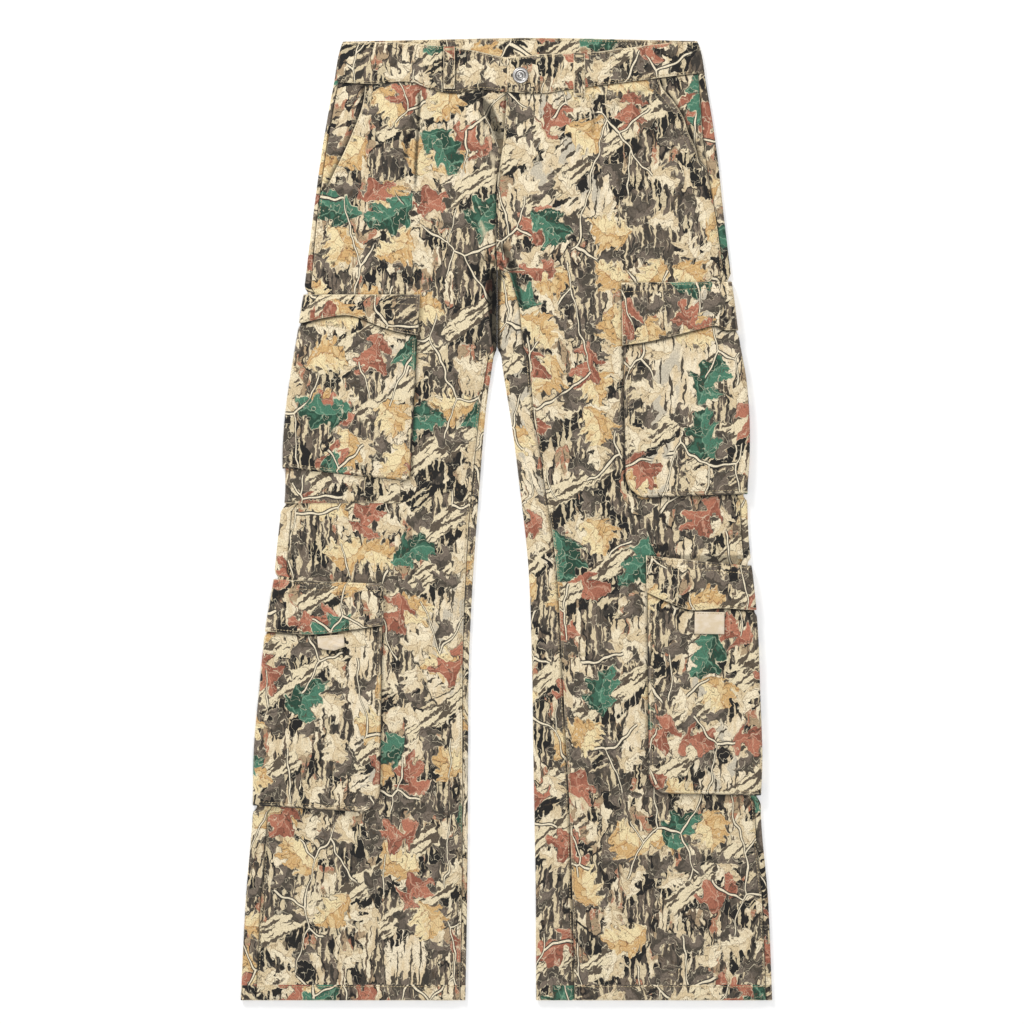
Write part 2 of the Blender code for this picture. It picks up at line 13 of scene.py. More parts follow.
import bpy
import numpy as np
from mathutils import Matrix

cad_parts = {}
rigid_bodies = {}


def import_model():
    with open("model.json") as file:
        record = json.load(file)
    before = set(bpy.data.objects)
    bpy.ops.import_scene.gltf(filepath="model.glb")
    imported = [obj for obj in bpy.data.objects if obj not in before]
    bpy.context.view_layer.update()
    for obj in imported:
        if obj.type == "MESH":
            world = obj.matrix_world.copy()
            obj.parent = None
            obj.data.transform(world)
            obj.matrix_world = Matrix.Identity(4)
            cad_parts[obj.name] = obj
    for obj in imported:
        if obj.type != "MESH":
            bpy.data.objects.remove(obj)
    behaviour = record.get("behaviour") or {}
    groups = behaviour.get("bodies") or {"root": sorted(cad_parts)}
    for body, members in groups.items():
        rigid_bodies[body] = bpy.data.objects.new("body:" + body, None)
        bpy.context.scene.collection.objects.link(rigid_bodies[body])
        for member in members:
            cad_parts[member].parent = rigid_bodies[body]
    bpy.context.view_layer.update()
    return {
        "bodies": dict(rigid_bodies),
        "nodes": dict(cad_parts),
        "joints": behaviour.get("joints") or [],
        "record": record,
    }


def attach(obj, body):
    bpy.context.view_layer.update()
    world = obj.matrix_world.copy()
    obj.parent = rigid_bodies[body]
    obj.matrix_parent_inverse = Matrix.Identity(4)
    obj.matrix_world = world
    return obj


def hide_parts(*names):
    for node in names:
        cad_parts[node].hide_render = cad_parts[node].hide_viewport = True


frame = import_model()

LENGTH = 1052.0  # top of the waistband to the hems
CLOTH = 1.2  # a wall of one cloth
BAND = 1.8  # waistband and flaps: two cloths pressed together
SEAM_GAP = 0.3
WAIST_GAP = 0.6
LIP = 4.4  # height of a leg's turned edge
TURN = 3.5  # how far a leg's edge takes to turn over
SHOULDER = 18.0  # from the turned edge to the leg's full height
CROTCH = 253.0  # down to the point where the four leg seams meet
CROTCH_TUCK = 3.0  # how far the back's inner sides run up under the fronts there
SEAT_END = 337.0  # down to the lowest point of the seat, between the legs
CROTCH_ACROSS = -10.3
TUCK = 4.8  # a leg is this much narrower under its cargo pockets
PRESS_RUN = 6.0  # the length over which a pocket's press on the leg's side eases in and out
GRID_TOP = 48.0  # about where the cloth under the waistband starts
TOP_FADE = 60.0  # how far below its top edge a grid's rows take to run level
SIDE_OF_WAIST = 25.0  # down to where the waistband's turn at the sides is measured
UNDERLAP = 30.0  # of the right waistband end, under the left one
FLY_UNDERLAP = 15.0
FACING_UNDERLAP = 9.0
POCKET_MOUTH_RISE = 1.8
POCKET_BASE_RISE = 3.3
POCKET_TURN = 5.0
FLAP_HINGE = 14.0  # down from a flap's sewn line to its pocket's mouth
LAID_GAP = 0.4  # between a piece and what it lies on
LOOP_WIDTH = 12.5
LOOP_ARCH = 0.8
BUTTON_ACROSS, BUTTON_DOWN = 15.3, 42.0
TABLE_GAP = 0.5
SEWN_UNDER = 4.0  # how far a seam's lower cloth runs on under the upper one
HEM = 17.0  # depth of the turned hems
STITCH_STEP = 1.5  # how closely a row of stitches follows the cloth
HEM_STITCHES = LENGTH - HEM + 1.9
UNDER_STITCHES = 0.12  # how high the underside's stitches lie
INSEAM_STITCHES_FROM = CROTCH + 100
WRAPPED = 12  # columns that carry a pocket or flap round the leg's side to the table
FAR = 99.0  # a distance to an edge or a seam that is well out of reach
BAND_JOIN = -91.5  # where two lengths of the right front waistband are joined

SLANT = -0.62  # how far the print's branches lean, in radians
DEEPEST_PAINTED_SHADE = 0.08  # how dark painted shade makes the cloth where seams, pockets and folds hide it, against open cloth
OPEN_DYE = (0.90, 1.29)  # the weave's grain: how much it darkens or lightens open cloth, low and high
LAMPLIGHT = (1.085, 1.10, 1.065)  # on level cloth, so that hex codes are colours as they are lit
DEEPEST_FOLD = 3.4  # the least height of the upper cloth in a fold
FOLD_FLOOR = 0.4  # how softly folds bottom out
NARROW = 4.6  # creases up to this wide are pressed sharp, and coloured: pale on their ridges as wear and painted highlight, dark in their troughs as painted shade

OUTSIDE = {"right": -1, "left": 1}


def table(names, *rows):
    """A table with named columns, as one array for each column."""
    return dict(zip(names.split(), np.array(rows, float).T))


OUTLINE = table(
    "down right left",
    (0, -177, 207), (6, -179.5, 209.5), (52, -189, 218.5), (113, -200, 228.4),
    (200, -212, 238.2), (288, -223, 249), (331, -229.5, 254.5), (375, -236, 262),
    (419, -241.5, 265.5), (462, -244.5, 265.5), (497, -245, 263.5), (549, -250, 265),
    (595, -255, 270), (637, -262, 274), (724, -271, 277.5), (789, -276.3, 279.5),
    (840, -277, 278), (942, -285, 286), (1052, -290.5, 290.5),
)
INSIDE = table(
    "down right left",
    (253, -20, -7.6), (337, -12.5, -6), (353, -14.7, -5), (397, -21.3, 1.6), (440, -25.6, 8.2),
    (484, -29, 13.6), (571, -35.4, 23.4), (680, -41, 27.8), (789, -42, 29.5), (942, -43, 32),
    (1052, -45, 32.5),
)
OUTSEAM_INSET = table(
    "down right left",
    (40, 5, 7), (120, 5, 13.5), (200, 5, 9), (290, 8, 8), (500, 12, 8), (840, 16.5, 7),
    (1052, 17, 7),
)
INSEAM_INSET = table(
    "down right left",
    (253, 4.6, 10.5), (259, 5, 14.5), (293, 5, 24), (353, 6, 30), (420, 7, 25.5), (530, 9, 29),
    (700, 6.5, 33), (830, 6, 38), (1052, 6, 42),
)
EDGE_AT_INSEAM = table(
    "down height turn shoulder",
    (250, 5.5, 2, 6), (264, 2.8, 1.6, 9), (330, 2.8, 1.6, 8),
    (352, LIP, TURN, SHOULDER),
    (1052, LIP, TURN, SHOULDER),
)
FULL_HEIGHT = table(
    "down height",
    (0, 5.8), (30, 6.7), (60, 6.3), (120, 5.7), (400, 5.6), (700, 5.3), (1052, 5.0),
)
WAIST_TOP = table(
    "across down",
    (-180, 5.5), (-124, 5.5), (-79, 8.7), (-38, 14), (0, 21.5), (39, 18.5), (84, 17.4),
    (133, 11.4), (184, 5.5), (212, 4.4),
)
BACK_TOP = table("across down", (-180, 4), (-60, 1.5), (20, 0), (120, 1.5), (212, 3.5))
WAIST_SEAM = table(
    "across down",
    (-191, 48), (-149, 51), (-100, 50), (-84, 56), (-58, 61), (-38, 57.5), (0, 59.4),
    (34, 61.5), (74, 56), (131, 49), (173, 43.6), (219, 37.5),
)
FLY = table(
    "down across",
    (15, 0.6), (60, 0), (115, -3.8), (155, -9.4), (200, -11.4),
    (253, CROTCH_ACROSS),
)
SEAT_SEAM = table("down across", (30, 14), (160, 2), (253, CROTCH_ACROSS))
POCKET_MOUTH = {
    "right": table(
        "down across",
        (50, -154), (73, -157), (100, -166.7), (143, -186.2), (166, -199), (176, -209),
    ),
    "left": table(
        "down across",
        (44, 166), (56, 170.5), (69, 181.5), (86, 192.5), (105, 199), (122, 207), (138, 211),
        (156, 226),
    ),
}
MOUTH_END = {"right": 168.0, "left": 143.0}

# Creases: the width to either side, the height (less than 0 is a trough), and the points
# (across, down) that the crease runs through. It fades out at both ends.
CREASES = (
    # right hip: the pleat, the hollow beside it, and the fold from the waistband to the fly
    (9, -1.8, (-103, 72), (-109, 165)),
    (9, 1.5, (-88, 66), (-97, 150)),
    (2.5, -2.8, (-94.5, 50), (-96, 92), (-98.5, 130), (-100, 172)),
    (2.4, 1.2, (-90, 52), (-91.5, 92), (-94, 130), (-95, 160)),
    (3.0, -1.5, (-99, 82), (-105, 104), (-110, 126), (-115, 150)),
    (8, -1.7, (-30, 68), (-12, 104)),
    (9, 2.0, (-40, 74), (-24, 122)),
    (4.4, -3.7, (-29, 62), (-21, 80), (-11, 100), (-4, 124)),
    (4.5, -2.0, (-20, 70), (-13, 88), (-7, 108)),
    (4.0, 1.5, (-40, 66), (-29, 88), (-19, 110), (-13, 140), (-13, 190)),
    # left hip: beside the loop, above the scoop pocket and across the waistband
    (7, -1.3, (97, 62), (99, 100)),
    (9, 1.2, (122, 74), (150, 60)),
    (2.6, -1.3, (96, 60), (97, 84), (93, 112)),
    (2.8, -1.2, (110, 92), (118, 76), (134, 62), (156, 56), (172, 56)),
    (6, 0.9, (92, 33), (150, 22)),
    (2.6, -1.5, (84, 35), (100, 31), (131, 26), (152, 21)),
    # crotch
    (8, 1.2, (-14, 210), (4, 246)),
    (8, 1.3, (16, 262), (27, 330)),
    (12, -1.0, (-60, 215), (-25, 262)),
    (4.3, -3.2, (-8, 222), (1, 236), (7, 252), (11, 276), (16, 300)),
    (3.0, 1.4, (-14, 214), (-13, 236), (-14, 252)),
    (2.8, -1.5, (-12, 226), (-24, 240), (-34, 262)),
    (4.5, 1.1, (-30, 196), (-18, 226)),
    (3.2, 2.2, (-21, 234), (-13, 240), (-4, 243)),
    (2.6, -2.8, (-23, 241), (-13, 247), (-2, 249)),
    (3.0, 2.4, (-19, 251), (-8, 255), (0, 254)),
    (2.4, -2.6, (-1, 234), (4, 244), (3, 254), (-5, 260)),
    (1.7, -2.4, (-22, 234), (-14, 242), (-8, 257)),
    (1.7, -2.4, (-15, 230), (-8, 239), (-2, 256)),
    (1.6, -2.2, (-6, 230), (0, 238), (1, 252)),
    (2.2, -2.4, (-6, 112), (-8, 150), (-11, 185), (-13, 228)),
    # thighs and knees
    (10, -0.8, (-150, 225), (-60, 262)),
    (11, 0.8, (60, 205), (118, 250)),
    (9, -0.7, (24, 345), (90, 368)),
    (12, 0.7, (-70, 330), (-52, 430)),
    (11, -0.7, (-104, 520), (-42, 548)),
    (10, 0.7, (-210, 560), (-120, 538)),
    (12, 0.8, (60, 470), (112, 530)),
    (10, -0.7, (50, 600), (104, 640)),
    # shins and hems
    (13, 0.8, (-92, 640), (-70, 800)),
    (12, -0.7, (-240, 870), (-140, 905)),
    (13, 0.7, (-120, 880), (-70, 1010)),
    (12, -0.7, (70, 760), (130, 840)),
    (13, 0.8, (190, 880), (232, 1010)),
    (10, -0.6, (80, 930), (150, 960)),
)

# Cargo pockets: `hinge` is the flap's sewn line, `inner` the edge across the front of the leg and
# `base` the lower end, each at its two ends. `lip` is the flap's edge, `grooves` are creases in the
# flap, and `shade` is how dark the painted shade on the leg's cloth beside the pocket is.
POCKETS = {
    "thigh_right": {
        "hinge": (281, 281),
        "inner": (-95.5, -105),
        "base": (484.5, 471),
        "corner": 8,
        "shade": 0.8,
        "lip": table(
            "share down", (0, 326), (0.19, 321.5), (0.33, 316), (0.6, 304), (0.83, 307), (1, 312)
        ),
        "grooves": ((2.2, -1.0, (-166, 290), (-151, 301), (-137, 315), (-112, 322)),),
    },
    "thigh_left": {
        "hinge": (268, 267),
        "inner": (126.5, 130),
        "base": (503, 499),
        "corner": 25,
        "shade": 1.0,
        "lip": table(
            "share down",
            (0, 337), (0.2, 333.5), (0.44, 327), (0.7, 319), (0.85, 315.5), (0.92, 320), (1, 320),
        ),
        "grooves": ((1.3, -0.8, (142, 331), (176, 325), (216, 315), (240, 311)),),
    },
    "calf_right": {
        "hinge": (597, 592),
        "inner": (-135, -138),
        "base": (846, 839),
        "corner": 24,
        "shade": 0.5,
        "lip": table("share down", (0, 642), (0.25, 646.5), (0.6, 652), (1, 649)),
        "grooves": (),
    },
    "calf_left": {
        "hinge": (566, 577),
        "inner": (153.5, 155),
        "base": (826, 828),
        "corner": 22,
        "shade": 0.8,
        "lip": table("share down", (0, 606), (0.17, 615), (0.4, 625), (0.7, 623.5), (1, 625.5)),
        "grooves": (
            (1.9, -1.3, (160, 588), (176, 597), (190, 607), (215, 610), (222, 617)),
            (1.9, -1.2, (236, 611), (250, 607), (266, 606)),
        ),
    },
}
GUSSET_DOWN = (466.0, 509.0)
GUSSET_INNER = -116.0
LOOPS = {"right": (-62.5, 10.5, 56.5), "left": (79.5, 18.0, 65.5)}  # across, and down from and to
# Webbing tabs: `turn` is in degrees, and `fall` the share of its length at places across it.
TABS = {
    "right": {
        "across": -192, "down": 653, "width": 29, "length": 17, "turn": -5,
        "fall": (0.7, 0.86, 1.0, 0.82),
    },
    "left": {
        "across": 221.5, "down": 627.5, "width": 32.5, "length": 24, "turn": 1,
        "fall": (1.0, 1.0, 1.0, 1.0),
    },
}
VALLEY_MIDDLE = table("down across", (255, -13.5), (275, -14.3), (300, -13.4), (345, -10.2))
VALLEY_HALF = table("down width", (255, 6.8), (262, 7.8), (300, 5.4), (345, 3.4))


def smooth(rows, name, at, key="down"):
    """A column of a table, read at `at` from a smooth curve through its rows."""
    knots, values = rows[key], rows[name]
    slopes = np.gradient(values, knots)
    at = np.clip(at, knots[0], knots[-1])
    row = np.clip(np.searchsorted(knots, at) - 1, 0, len(knots) - 2)
    step = knots[row + 1] - knots[row]
    t = (at - knots[row]) / step
    ends = (1 + 2 * t) * (1 - t) ** 2 * values[row] + t * t * (3 - 2 * t) * values[row + 1]
    bends = t * (1 - t) ** 2 * slopes[row] + t * t * (t - 1) * slopes[row + 1]
    return ends + step * bends


def between(rows, name, at, key="down"):
    """A column of a table, read at `at` along straight lines between its rows."""
    return np.interp(at, rows[key], rows[name])


def ease(share):
    """0 below 0, 1 above 1, and a smooth step between."""
    share = np.clip(share, 0, 1)
    return share * share * (3 - 2 * share)


def bell(distance, width):
    """1 at no distance, fading to a third at `width`."""
    return np.exp(-((distance / width) ** 2))


def beside(distance, reach):
    """1 on an edge and inside it, fading over `reach` outside it, where `distance` is above 0."""
    return bell(np.maximum(distance, 0), reach)


def nothing(across, down):
    return np.zeros(np.broadcast(across, down).shape)


def crease(across, down, width, height, *points):
    """A ridge or trough along a bent line: its height times a bell of the distance to the line.

    It is eased in and out over the first and last quarter of the line's length.
    """
    points = np.array(points, float)
    steps = np.diff(points, axis=0)
    lengths = np.hypot(*steps.T)
    before = np.concatenate([[0], np.cumsum(lengths)])
    share = nothing(across, down)
    nearest = share + 1e9
    for start, step, length, run in zip(points, steps, lengths, before):
        along = ((across - start[0]) * step[0] + (down - start[1]) * step[1]) / length**2
        along = np.clip(along, 0, 1)
        off = np.hypot(across - start[0] - along * step[0], down - start[1] - along * step[1])
        share = np.where(off < nearest, (run + along * length) / before[-1], share)
        nearest = np.minimum(off, nearest)
    fade = ease(share / 0.25 + 0.15) * ease((1 - share) / 0.25 + 0.15)
    return height * fade * bell(nearest, width)


def crease_wear_highlight_and_shade(across, down):
    """How pale (above 0: wear and painted highlight on ridges) or dark (below 0: painted shade in
    troughs) the narrow creases are, from about -1 to 1.
    """
    total = nothing(across, down)
    for width, height, *points in CREASES:
        if width <= NARROW:
            total += crease(across, down, width * 0.8, height * 0.45, *points)
    return np.clip(total, -0.8, 0.5)


def shade_between_legs(across, down):
    """Painted shade in the valley between the legs: how dark it is, from the crotch to the end of
    the seat, 0 to 1.
    """
    off = np.abs(across - between(VALLEY_MIDDLE, "across", down))
    ends = ease((down - CROTCH + 2) / 4) * ease((SEAT_END + 35 - down) / 34)
    return beside(off - between(VALLEY_HALF, "width", down), 2.2) * ends


def from_pocket(name, across, down):
    """The distance out from a cargo pocket's inner edge, rounded corner and base; under 0 on it."""
    leg, pocket = name.split("_")[1], POCKETS[name]
    edge = np.interp(down, [pocket["hinge"][0], max(pocket["base"])], pocket["inner"])
    share = (across - edge) / (smooth(OUTLINE, leg, down) - edge)
    base = pocket["base"][0] + share * np.diff(pocket["base"])[0]
    sideways = (edge - across) * OUTSIDE[leg] + pocket["corner"]
    beyond = down - base + pocket["corner"]
    out = np.hypot(np.maximum(sideways, 0), np.maximum(beyond, 0)) - pocket["corner"]
    return out + np.minimum(np.maximum(sideways, beyond), 0)


def painted_shade_by_pockets(leg, across, down):
    """How much painted shade darkens the leg's cloth right beside its cargo pockets, 0 to 1."""
    total = nothing(across, down)
    for name, pocket in POCKETS.items():
        if name.endswith(leg):
            below_top = ease((down - min(pocket["hinge"]) + 2) / 3)
            shadow = below_top * beside(from_pocket(name, across, down), 3.0)
            total = np.maximum(total, pocket["shade"] * shadow)
    return total


def waves(across, down, seed, length, height):
    """Uneven cloth: seven slow waves in drawn directions, `length` to twice that long, added up."""
    draw = np.random.default_rng(seed)
    total = nothing(across, down)
    many = 7
    for _ in range(many):
        turn, reach, start = draw.uniform(0, [math.tau, 1, math.tau])
        rate = math.tau / (length * (1 + reach))
        total += np.sin((across * math.cos(turn) + down * math.sin(turn)) * rate + start)
    return height * total / many**0.5


def pucker(along, distance, seed, height=0.16, reach=4.5):
    """The small gathers beside a stitched seam: short waves along it that die away from it."""
    draw = np.random.default_rng(seed)
    total = 0
    for length in (5.3, 7.9, 12.7, 21.0):
        total = total + np.sin(along * (math.tau / length) + draw.uniform(0, math.tau))
    return height * total / 2 * bell(distance - 2.5, reach)


def rounded(distance, drop=0.7, run=1.3):
    """How a folded or turned edge falls away in its last millimetre or so."""
    return -drop * bell(distance, run)


def stitched(distance, inset=2.0, depth=0.32, run=0.9):
    """The shallow groove that a row of stitches pulls into the cloth, `inset` from the edge."""
    return -depth * bell(distance - inset, run)


def pressed_rows(leg):
    """For each cargo pocket of a leg, the four rows between which it presses the leg's side in."""
    for name, pocket in POCKETS.items():
        if name.endswith(leg):
            start = pocket["hinge"][1] - 2
            end = (GUSSET_DOWN[1] if name == "thigh_right" else pocket["base"][1]) + 2
            yield start - PRESS_RUN, start, end, end + PRESS_RUN


def side(leg, down):
    """The outer edge of a leg's own cloth, which its cargo pockets press in."""
    pressed = sum(np.interp(down, rows, [0, 1, 1, 0]) for rows in pressed_rows(leg))
    return smooth(OUTLINE, leg, down) - OUTSIDE[leg] * TUCK * pressed


def inner_edge(leg, down):
    """A leg's inner edge: the seat seam down to the seat's lowest point, then the inside leg."""
    seat = CROTCH_ACROSS + OUTSIDE[leg] * SEAM_GAP / 2
    return seat + ease((down - SEAT_END) / 13) * (smooth(INSIDE, leg, down) - seat)


def outseam(leg, down):
    return side(leg, down) - OUTSIDE[leg] * smooth(OUTSEAM_INSET, leg, down)


def inseam(leg, down):
    return inner_edge(leg, down) + OUTSIDE[leg] * between(INSEAM_INSET, leg, down)


def waist_seam(across):
    return smooth(WAIST_SEAM, "down", across, key="across")


def back_waist_seam(across):
    """The waist seam of the back, a straight line that meets the front's at both sides."""
    return np.interp(across, WAIST_SEAM["across"][[0, -1]], WAIST_SEAM["down"][[0, -1]])


def back_top(across):
    return smooth(BACK_TOP, "down", across, key="across")


def band_top(across):
    return smooth(WAIST_TOP, "down", across, key="across")


def full(across, down):
    """The height of the jeans away from their edges, with the creases, which bottom out softly."""
    total = smooth(FULL_HEIGHT, "height", down) + 0 * across
    for width, height, *points in CREASES:
        total = total + crease(across, down, width, height, *points)
    total = total + waves(across, down, 3, 70, 0.22) + waves(across, down, 8, 26, 0.07)
    return DEEPEST_FOLD + FOLD_FLOOR * np.logaddexp(0, (total - DEEPEST_FOLD) / FOLD_FLOOR)


def top(leg, across, down):
    """The height of the upper cloth of a leg or of its half of the hips."""
    middle = full(across, down)
    outer = (np.abs(across - side(leg, down)) - TURN) / SHOULDER
    height = LIP + (middle - LIP) * ease(outer)
    lip, turn, shoulder = (
        between(EDGE_AT_INSEAM, name, down) for name in ("height", "turn", "shoulder")
    )
    inner = (np.abs(across - inner_edge(leg, down)) - turn) / shoulder
    valley = lip + (middle - lip) * ease(inner)
    return np.where(down < CROTCH - CROTCH_TUCK, height, np.minimum(height, valley))


def place(across, down, height):
    """Points in metres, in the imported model's frame, from millimetres across, down and up."""
    across, down, height = np.broadcast_arrays(across, down, height)
    return np.stack([across, LENGTH / 2 - down, height], axis=-1) / 1000


def crowded(length, step, edge=(0, 0.5, 1.1, 1.8, 2.6, 3.6, 4.8, 6.2, 8.0), both=True):
    """Places from 0 to 1 over `length`, even in the middle and crowded near one end or both."""
    first = np.array(edge) / length
    last = 1 - first[::-1] if both else np.array([1.0])
    count = max(2, round((last[0] - first[-1]) * length / step))
    return np.concatenate([first, np.linspace(first[-1], last[0], count + 1)[1:-1], last])


# --- finishes ------------------------------------------------------------------------------------


def wire(tree, value, socket):
    """Joins a field or a socket to `socket`, or writes a plain number or colour on it."""
    if isinstance(value, Field):
        value = value.socket
    elif isinstance(value, str):
        value = colour(value)
    if isinstance(value, bpy.types.NodeSocket):
        tree.links.new(value, socket)
    else:
        socket.default_value = value


def colour(code):
    """A colour for a socket, from the hex code of how it looks where the lamps light it."""
    parts = np.array([int(code[i : i + 2], 16) for i in (0, 2, 4)]) / 255
    linear = np.where(parts <= 0.04045, parts / 12.92, ((parts + 0.055) / 1.055) ** 2.4)
    return (*(float(part) for part in linear / LAMPLIGHT), 1.0)


def add_node(tree, kind, values, **settings):
    """A node of `kind` with its `settings`, and `values`, by socket, joined or written on it."""
    node = tree.nodes.new("ShaderNode" + kind)
    for name, setting in settings.items():
        setattr(node, name, setting)
    for socket, value in values.items():
        wire(tree, value, node.inputs[socket])
    return node


class Field:
    """One value that varies over the cloth. The usual signs write Math nodes into its tree."""

    def __init__(self, tree, socket):
        self.tree, self.socket = tree, socket

    def math(self, operation, *others):
        values = dict(enumerate((self, *others)))
        return Field(self.tree, add_node(self.tree, "Math", values, operation=operation).outputs[0])

    def __add__(self, other):
        return self.math("ADD", other)

    def __sub__(self, other):
        return self.math("SUBTRACT", other)

    def __mul__(self, other):
        return self.math("MULTIPLY", other)

    def scaled(self, factor, plus=0.0):
        return self.math("MULTIPLY_ADD", factor, plus)

    def size(self):
        return self.math("ABSOLUTE")

    def above(self, level, blur, ends=(0.0, 1.0)):
        """`ends[0]` below `level` and `ends[1]` above it, with a smooth step `blur` wide."""
        names = "Value", "From Min", "From Max", "To Min", "To Max"
        values = dict(zip(names, (self, level - blur / 2, level + blur / 2, *ends)))
        node = add_node(self.tree, "MapRange", values, interpolation_type="SMOOTHSTEP")
        return Field(self.tree, node.outputs[0])

    def below(self, level, blur, full=1.0):
        return self.above(level, blur, (full, 0.0))


def vector(tree, operation, *values):
    node = add_node(tree, "VectorMath", dict(enumerate(values)), operation=operation)
    return node.outputs[0]


def noise(tree, where, stretch=(1, 1), detail=2.0, roughness=0.5, offset=(0, 0)):
    """Smooth noise with `stretch` bumps a metre across and along."""
    moved = vector(tree, "MULTIPLY_ADD", where, (*stretch, 0), (*offset, 0))
    values = {"Vector": moved, "Scale": 1.0, "Detail": detail, "Roughness": roughness}
    return Field(tree, add_node(tree, "TexNoise", values, noise_dimensions="2D").outputs[0])


def drift(tree, where, stretch, offset=(0, 0)):
    """A smooth drift, -0.5 to 0.5 in each direction, that changes over the cloth."""
    source = noise(tree, where, stretch, 1.0, 0.6, offset).socket.node.outputs["Color"]
    return vector(tree, "SUBTRACT", source, (0.5, 0.5, 0.5))


def moved_by(tree, where, step, reach):
    """The places `where`, each moved by up to half of `reach` metres."""
    return vector(tree, "MULTIPLY_ADD", step, (reach, reach, 0), where)


def over(share, upper, lower):
    """The colour `upper` laid over `lower` where the field `share` is 1."""
    values = {"Factor": share, 6: lower, 7: upper}
    return add_node(share.tree, "Mix", values, data_type="RGBA").outputs[2]


def attribute(tree, name):
    return Field(tree, add_node(tree, "Attribute", {}, attribute_name=name).outputs["Fac"])


def scattered(tree, where, size, offset, angle=0.0, randomness=0.8):
    """One spot in each cell of a loose grid: its across and along, -0.5 to 0.5, and two dice."""
    if angle:
        where = turned_by(tree, where, angle)
    scaled = vector(tree, "MULTIPLY_ADD", where, (1 / size[0], 1 / size[1], 0), (*offset, 0))
    values = {"Vector": scaled, "Scale": 1.0, "Randomness": randomness}
    cells = add_node(tree, "TexVoronoi", values, voronoi_dimensions="2D")
    local = vector(tree, "SUBTRACT", scaled, cells.outputs["Position"])
    dice = add_node(tree, "SeparateColor", {0: cells.outputs["Color"]})
    return local, Field(tree, dice.outputs[0]), Field(tree, dice.outputs[1])


def turned_by(tree, where, angle):
    values = {"Vector": where, "Angle": angle}
    return add_node(tree, "VectorRotate", values, rotation_type="Z_AXIS").outputs[0]


def apart(tree, where):
    parts = add_node(tree, "SeparateXYZ", {0: where}).outputs
    return Field(tree, parts[0]), Field(tree, parts[1])


def leaves(tree, where, size, offset, share, width, lobes, depth, sweep=0.6):
    """Leaves strewn one to a cell: (inside, rim, veins, shade), each 0 to 1.

    Along the midrib x, the half width is that of a long lens times a wave that swells at each lobe.
    The wave runs along x - sweep |y|, so the lobes and the veins in them point forwards.
    """
    half_length = 0.46  # as a share of a cell
    local, turn, chance = scattered(tree, where, (size, size), offset)
    along, across = apart(tree, turned_by(tree, local, turn * math.tau))
    squared = along * along
    across = squared.scaled(0.9, across)
    half = across.size()
    lens = squared.scaled(-1 / half_length**2, 1.0)
    lobe_rate = math.tau * lobes / (2 * half_length)
    wave = (half.scaled(-sweep, along) * lobe_rate).math("COSINE")
    edge = lens * wave.scaled(width * depth / 2, width * (1 - depth / 2)) - half
    inside = edge.above(0.0, 0.016) * chance.below(share, 0.001)
    rim = inside * edge.below(0.018, 0.014)
    side_veins = wave.above(0.97, 0.03, (0.0, 0.5)) * edge.above(0.03, 0.02)
    vein = half.below(0.008, 0.010, 0.6).math("MAXIMUM", side_veins)
    return inside, rim, inside * vein, across.above(0.0, 0.05)


# Kinds of leaf: a cell's size in metres, its place, the share of cells that hold one, the width,
# number and depth of its lobes, and its light, dark and vein colours.
LEAVES = (
    (0.040, (3.1, 4.4), 0.56, 0.38, 2.5, 0.62, "827769", "5A5449", "413E39"),
    (0.043, (5.5, 1.5), 0.42, 0.36, 3.2, 0.60, "F0E4C4", "DCCAA4", "9A8365"),
    (0.056, (2.5, 6.1), 0.32, 0.42, 4.4, 0.46, "EDDDAF", "D4B27C", "8A5236"),
    (0.058, (7.3, 3.2), 0.30, 0.42, 2.2, 0.76, "BB8067", "9A6551", "DAB397"),
    (0.074, (1.1, 8.7), 0.20, 0.31, 3.4, 0.50, "58866E", "355444", "97B89B"),
)


def material(name, **settings):
    """A material, with its node tree and its shader, whose plain `settings` are written."""
    made = bpy.data.materials.new(name)
    made.use_nodes = True
    shader = made.node_tree.nodes["Principled BSDF"]
    for socket, value in settings.items():
        shader.inputs[socket.replace("_", " ")].default_value = value
    return made, made.node_tree, shader


def finished(shader, tone, relief=None, distance=0.0, strength=0.0):
    """Joins the shader to its colour and to a bump map, `distance` metres deep."""
    tree = shader.id_data
    wire(tree, tone, shader.inputs["Base Color"])
    if relief is not None:
        values = {"Height": relief, "Distance": distance, "Strength": strength}
        wire(tree, add_node(tree, "Bump", values).outputs[0], shader.inputs["Normal"])


def on_the_roll(tree):
    """Places on the flat roll of cloth, in metres."""
    return add_node(tree, "UVMap", {}, uv_map="cut").outputs[0]


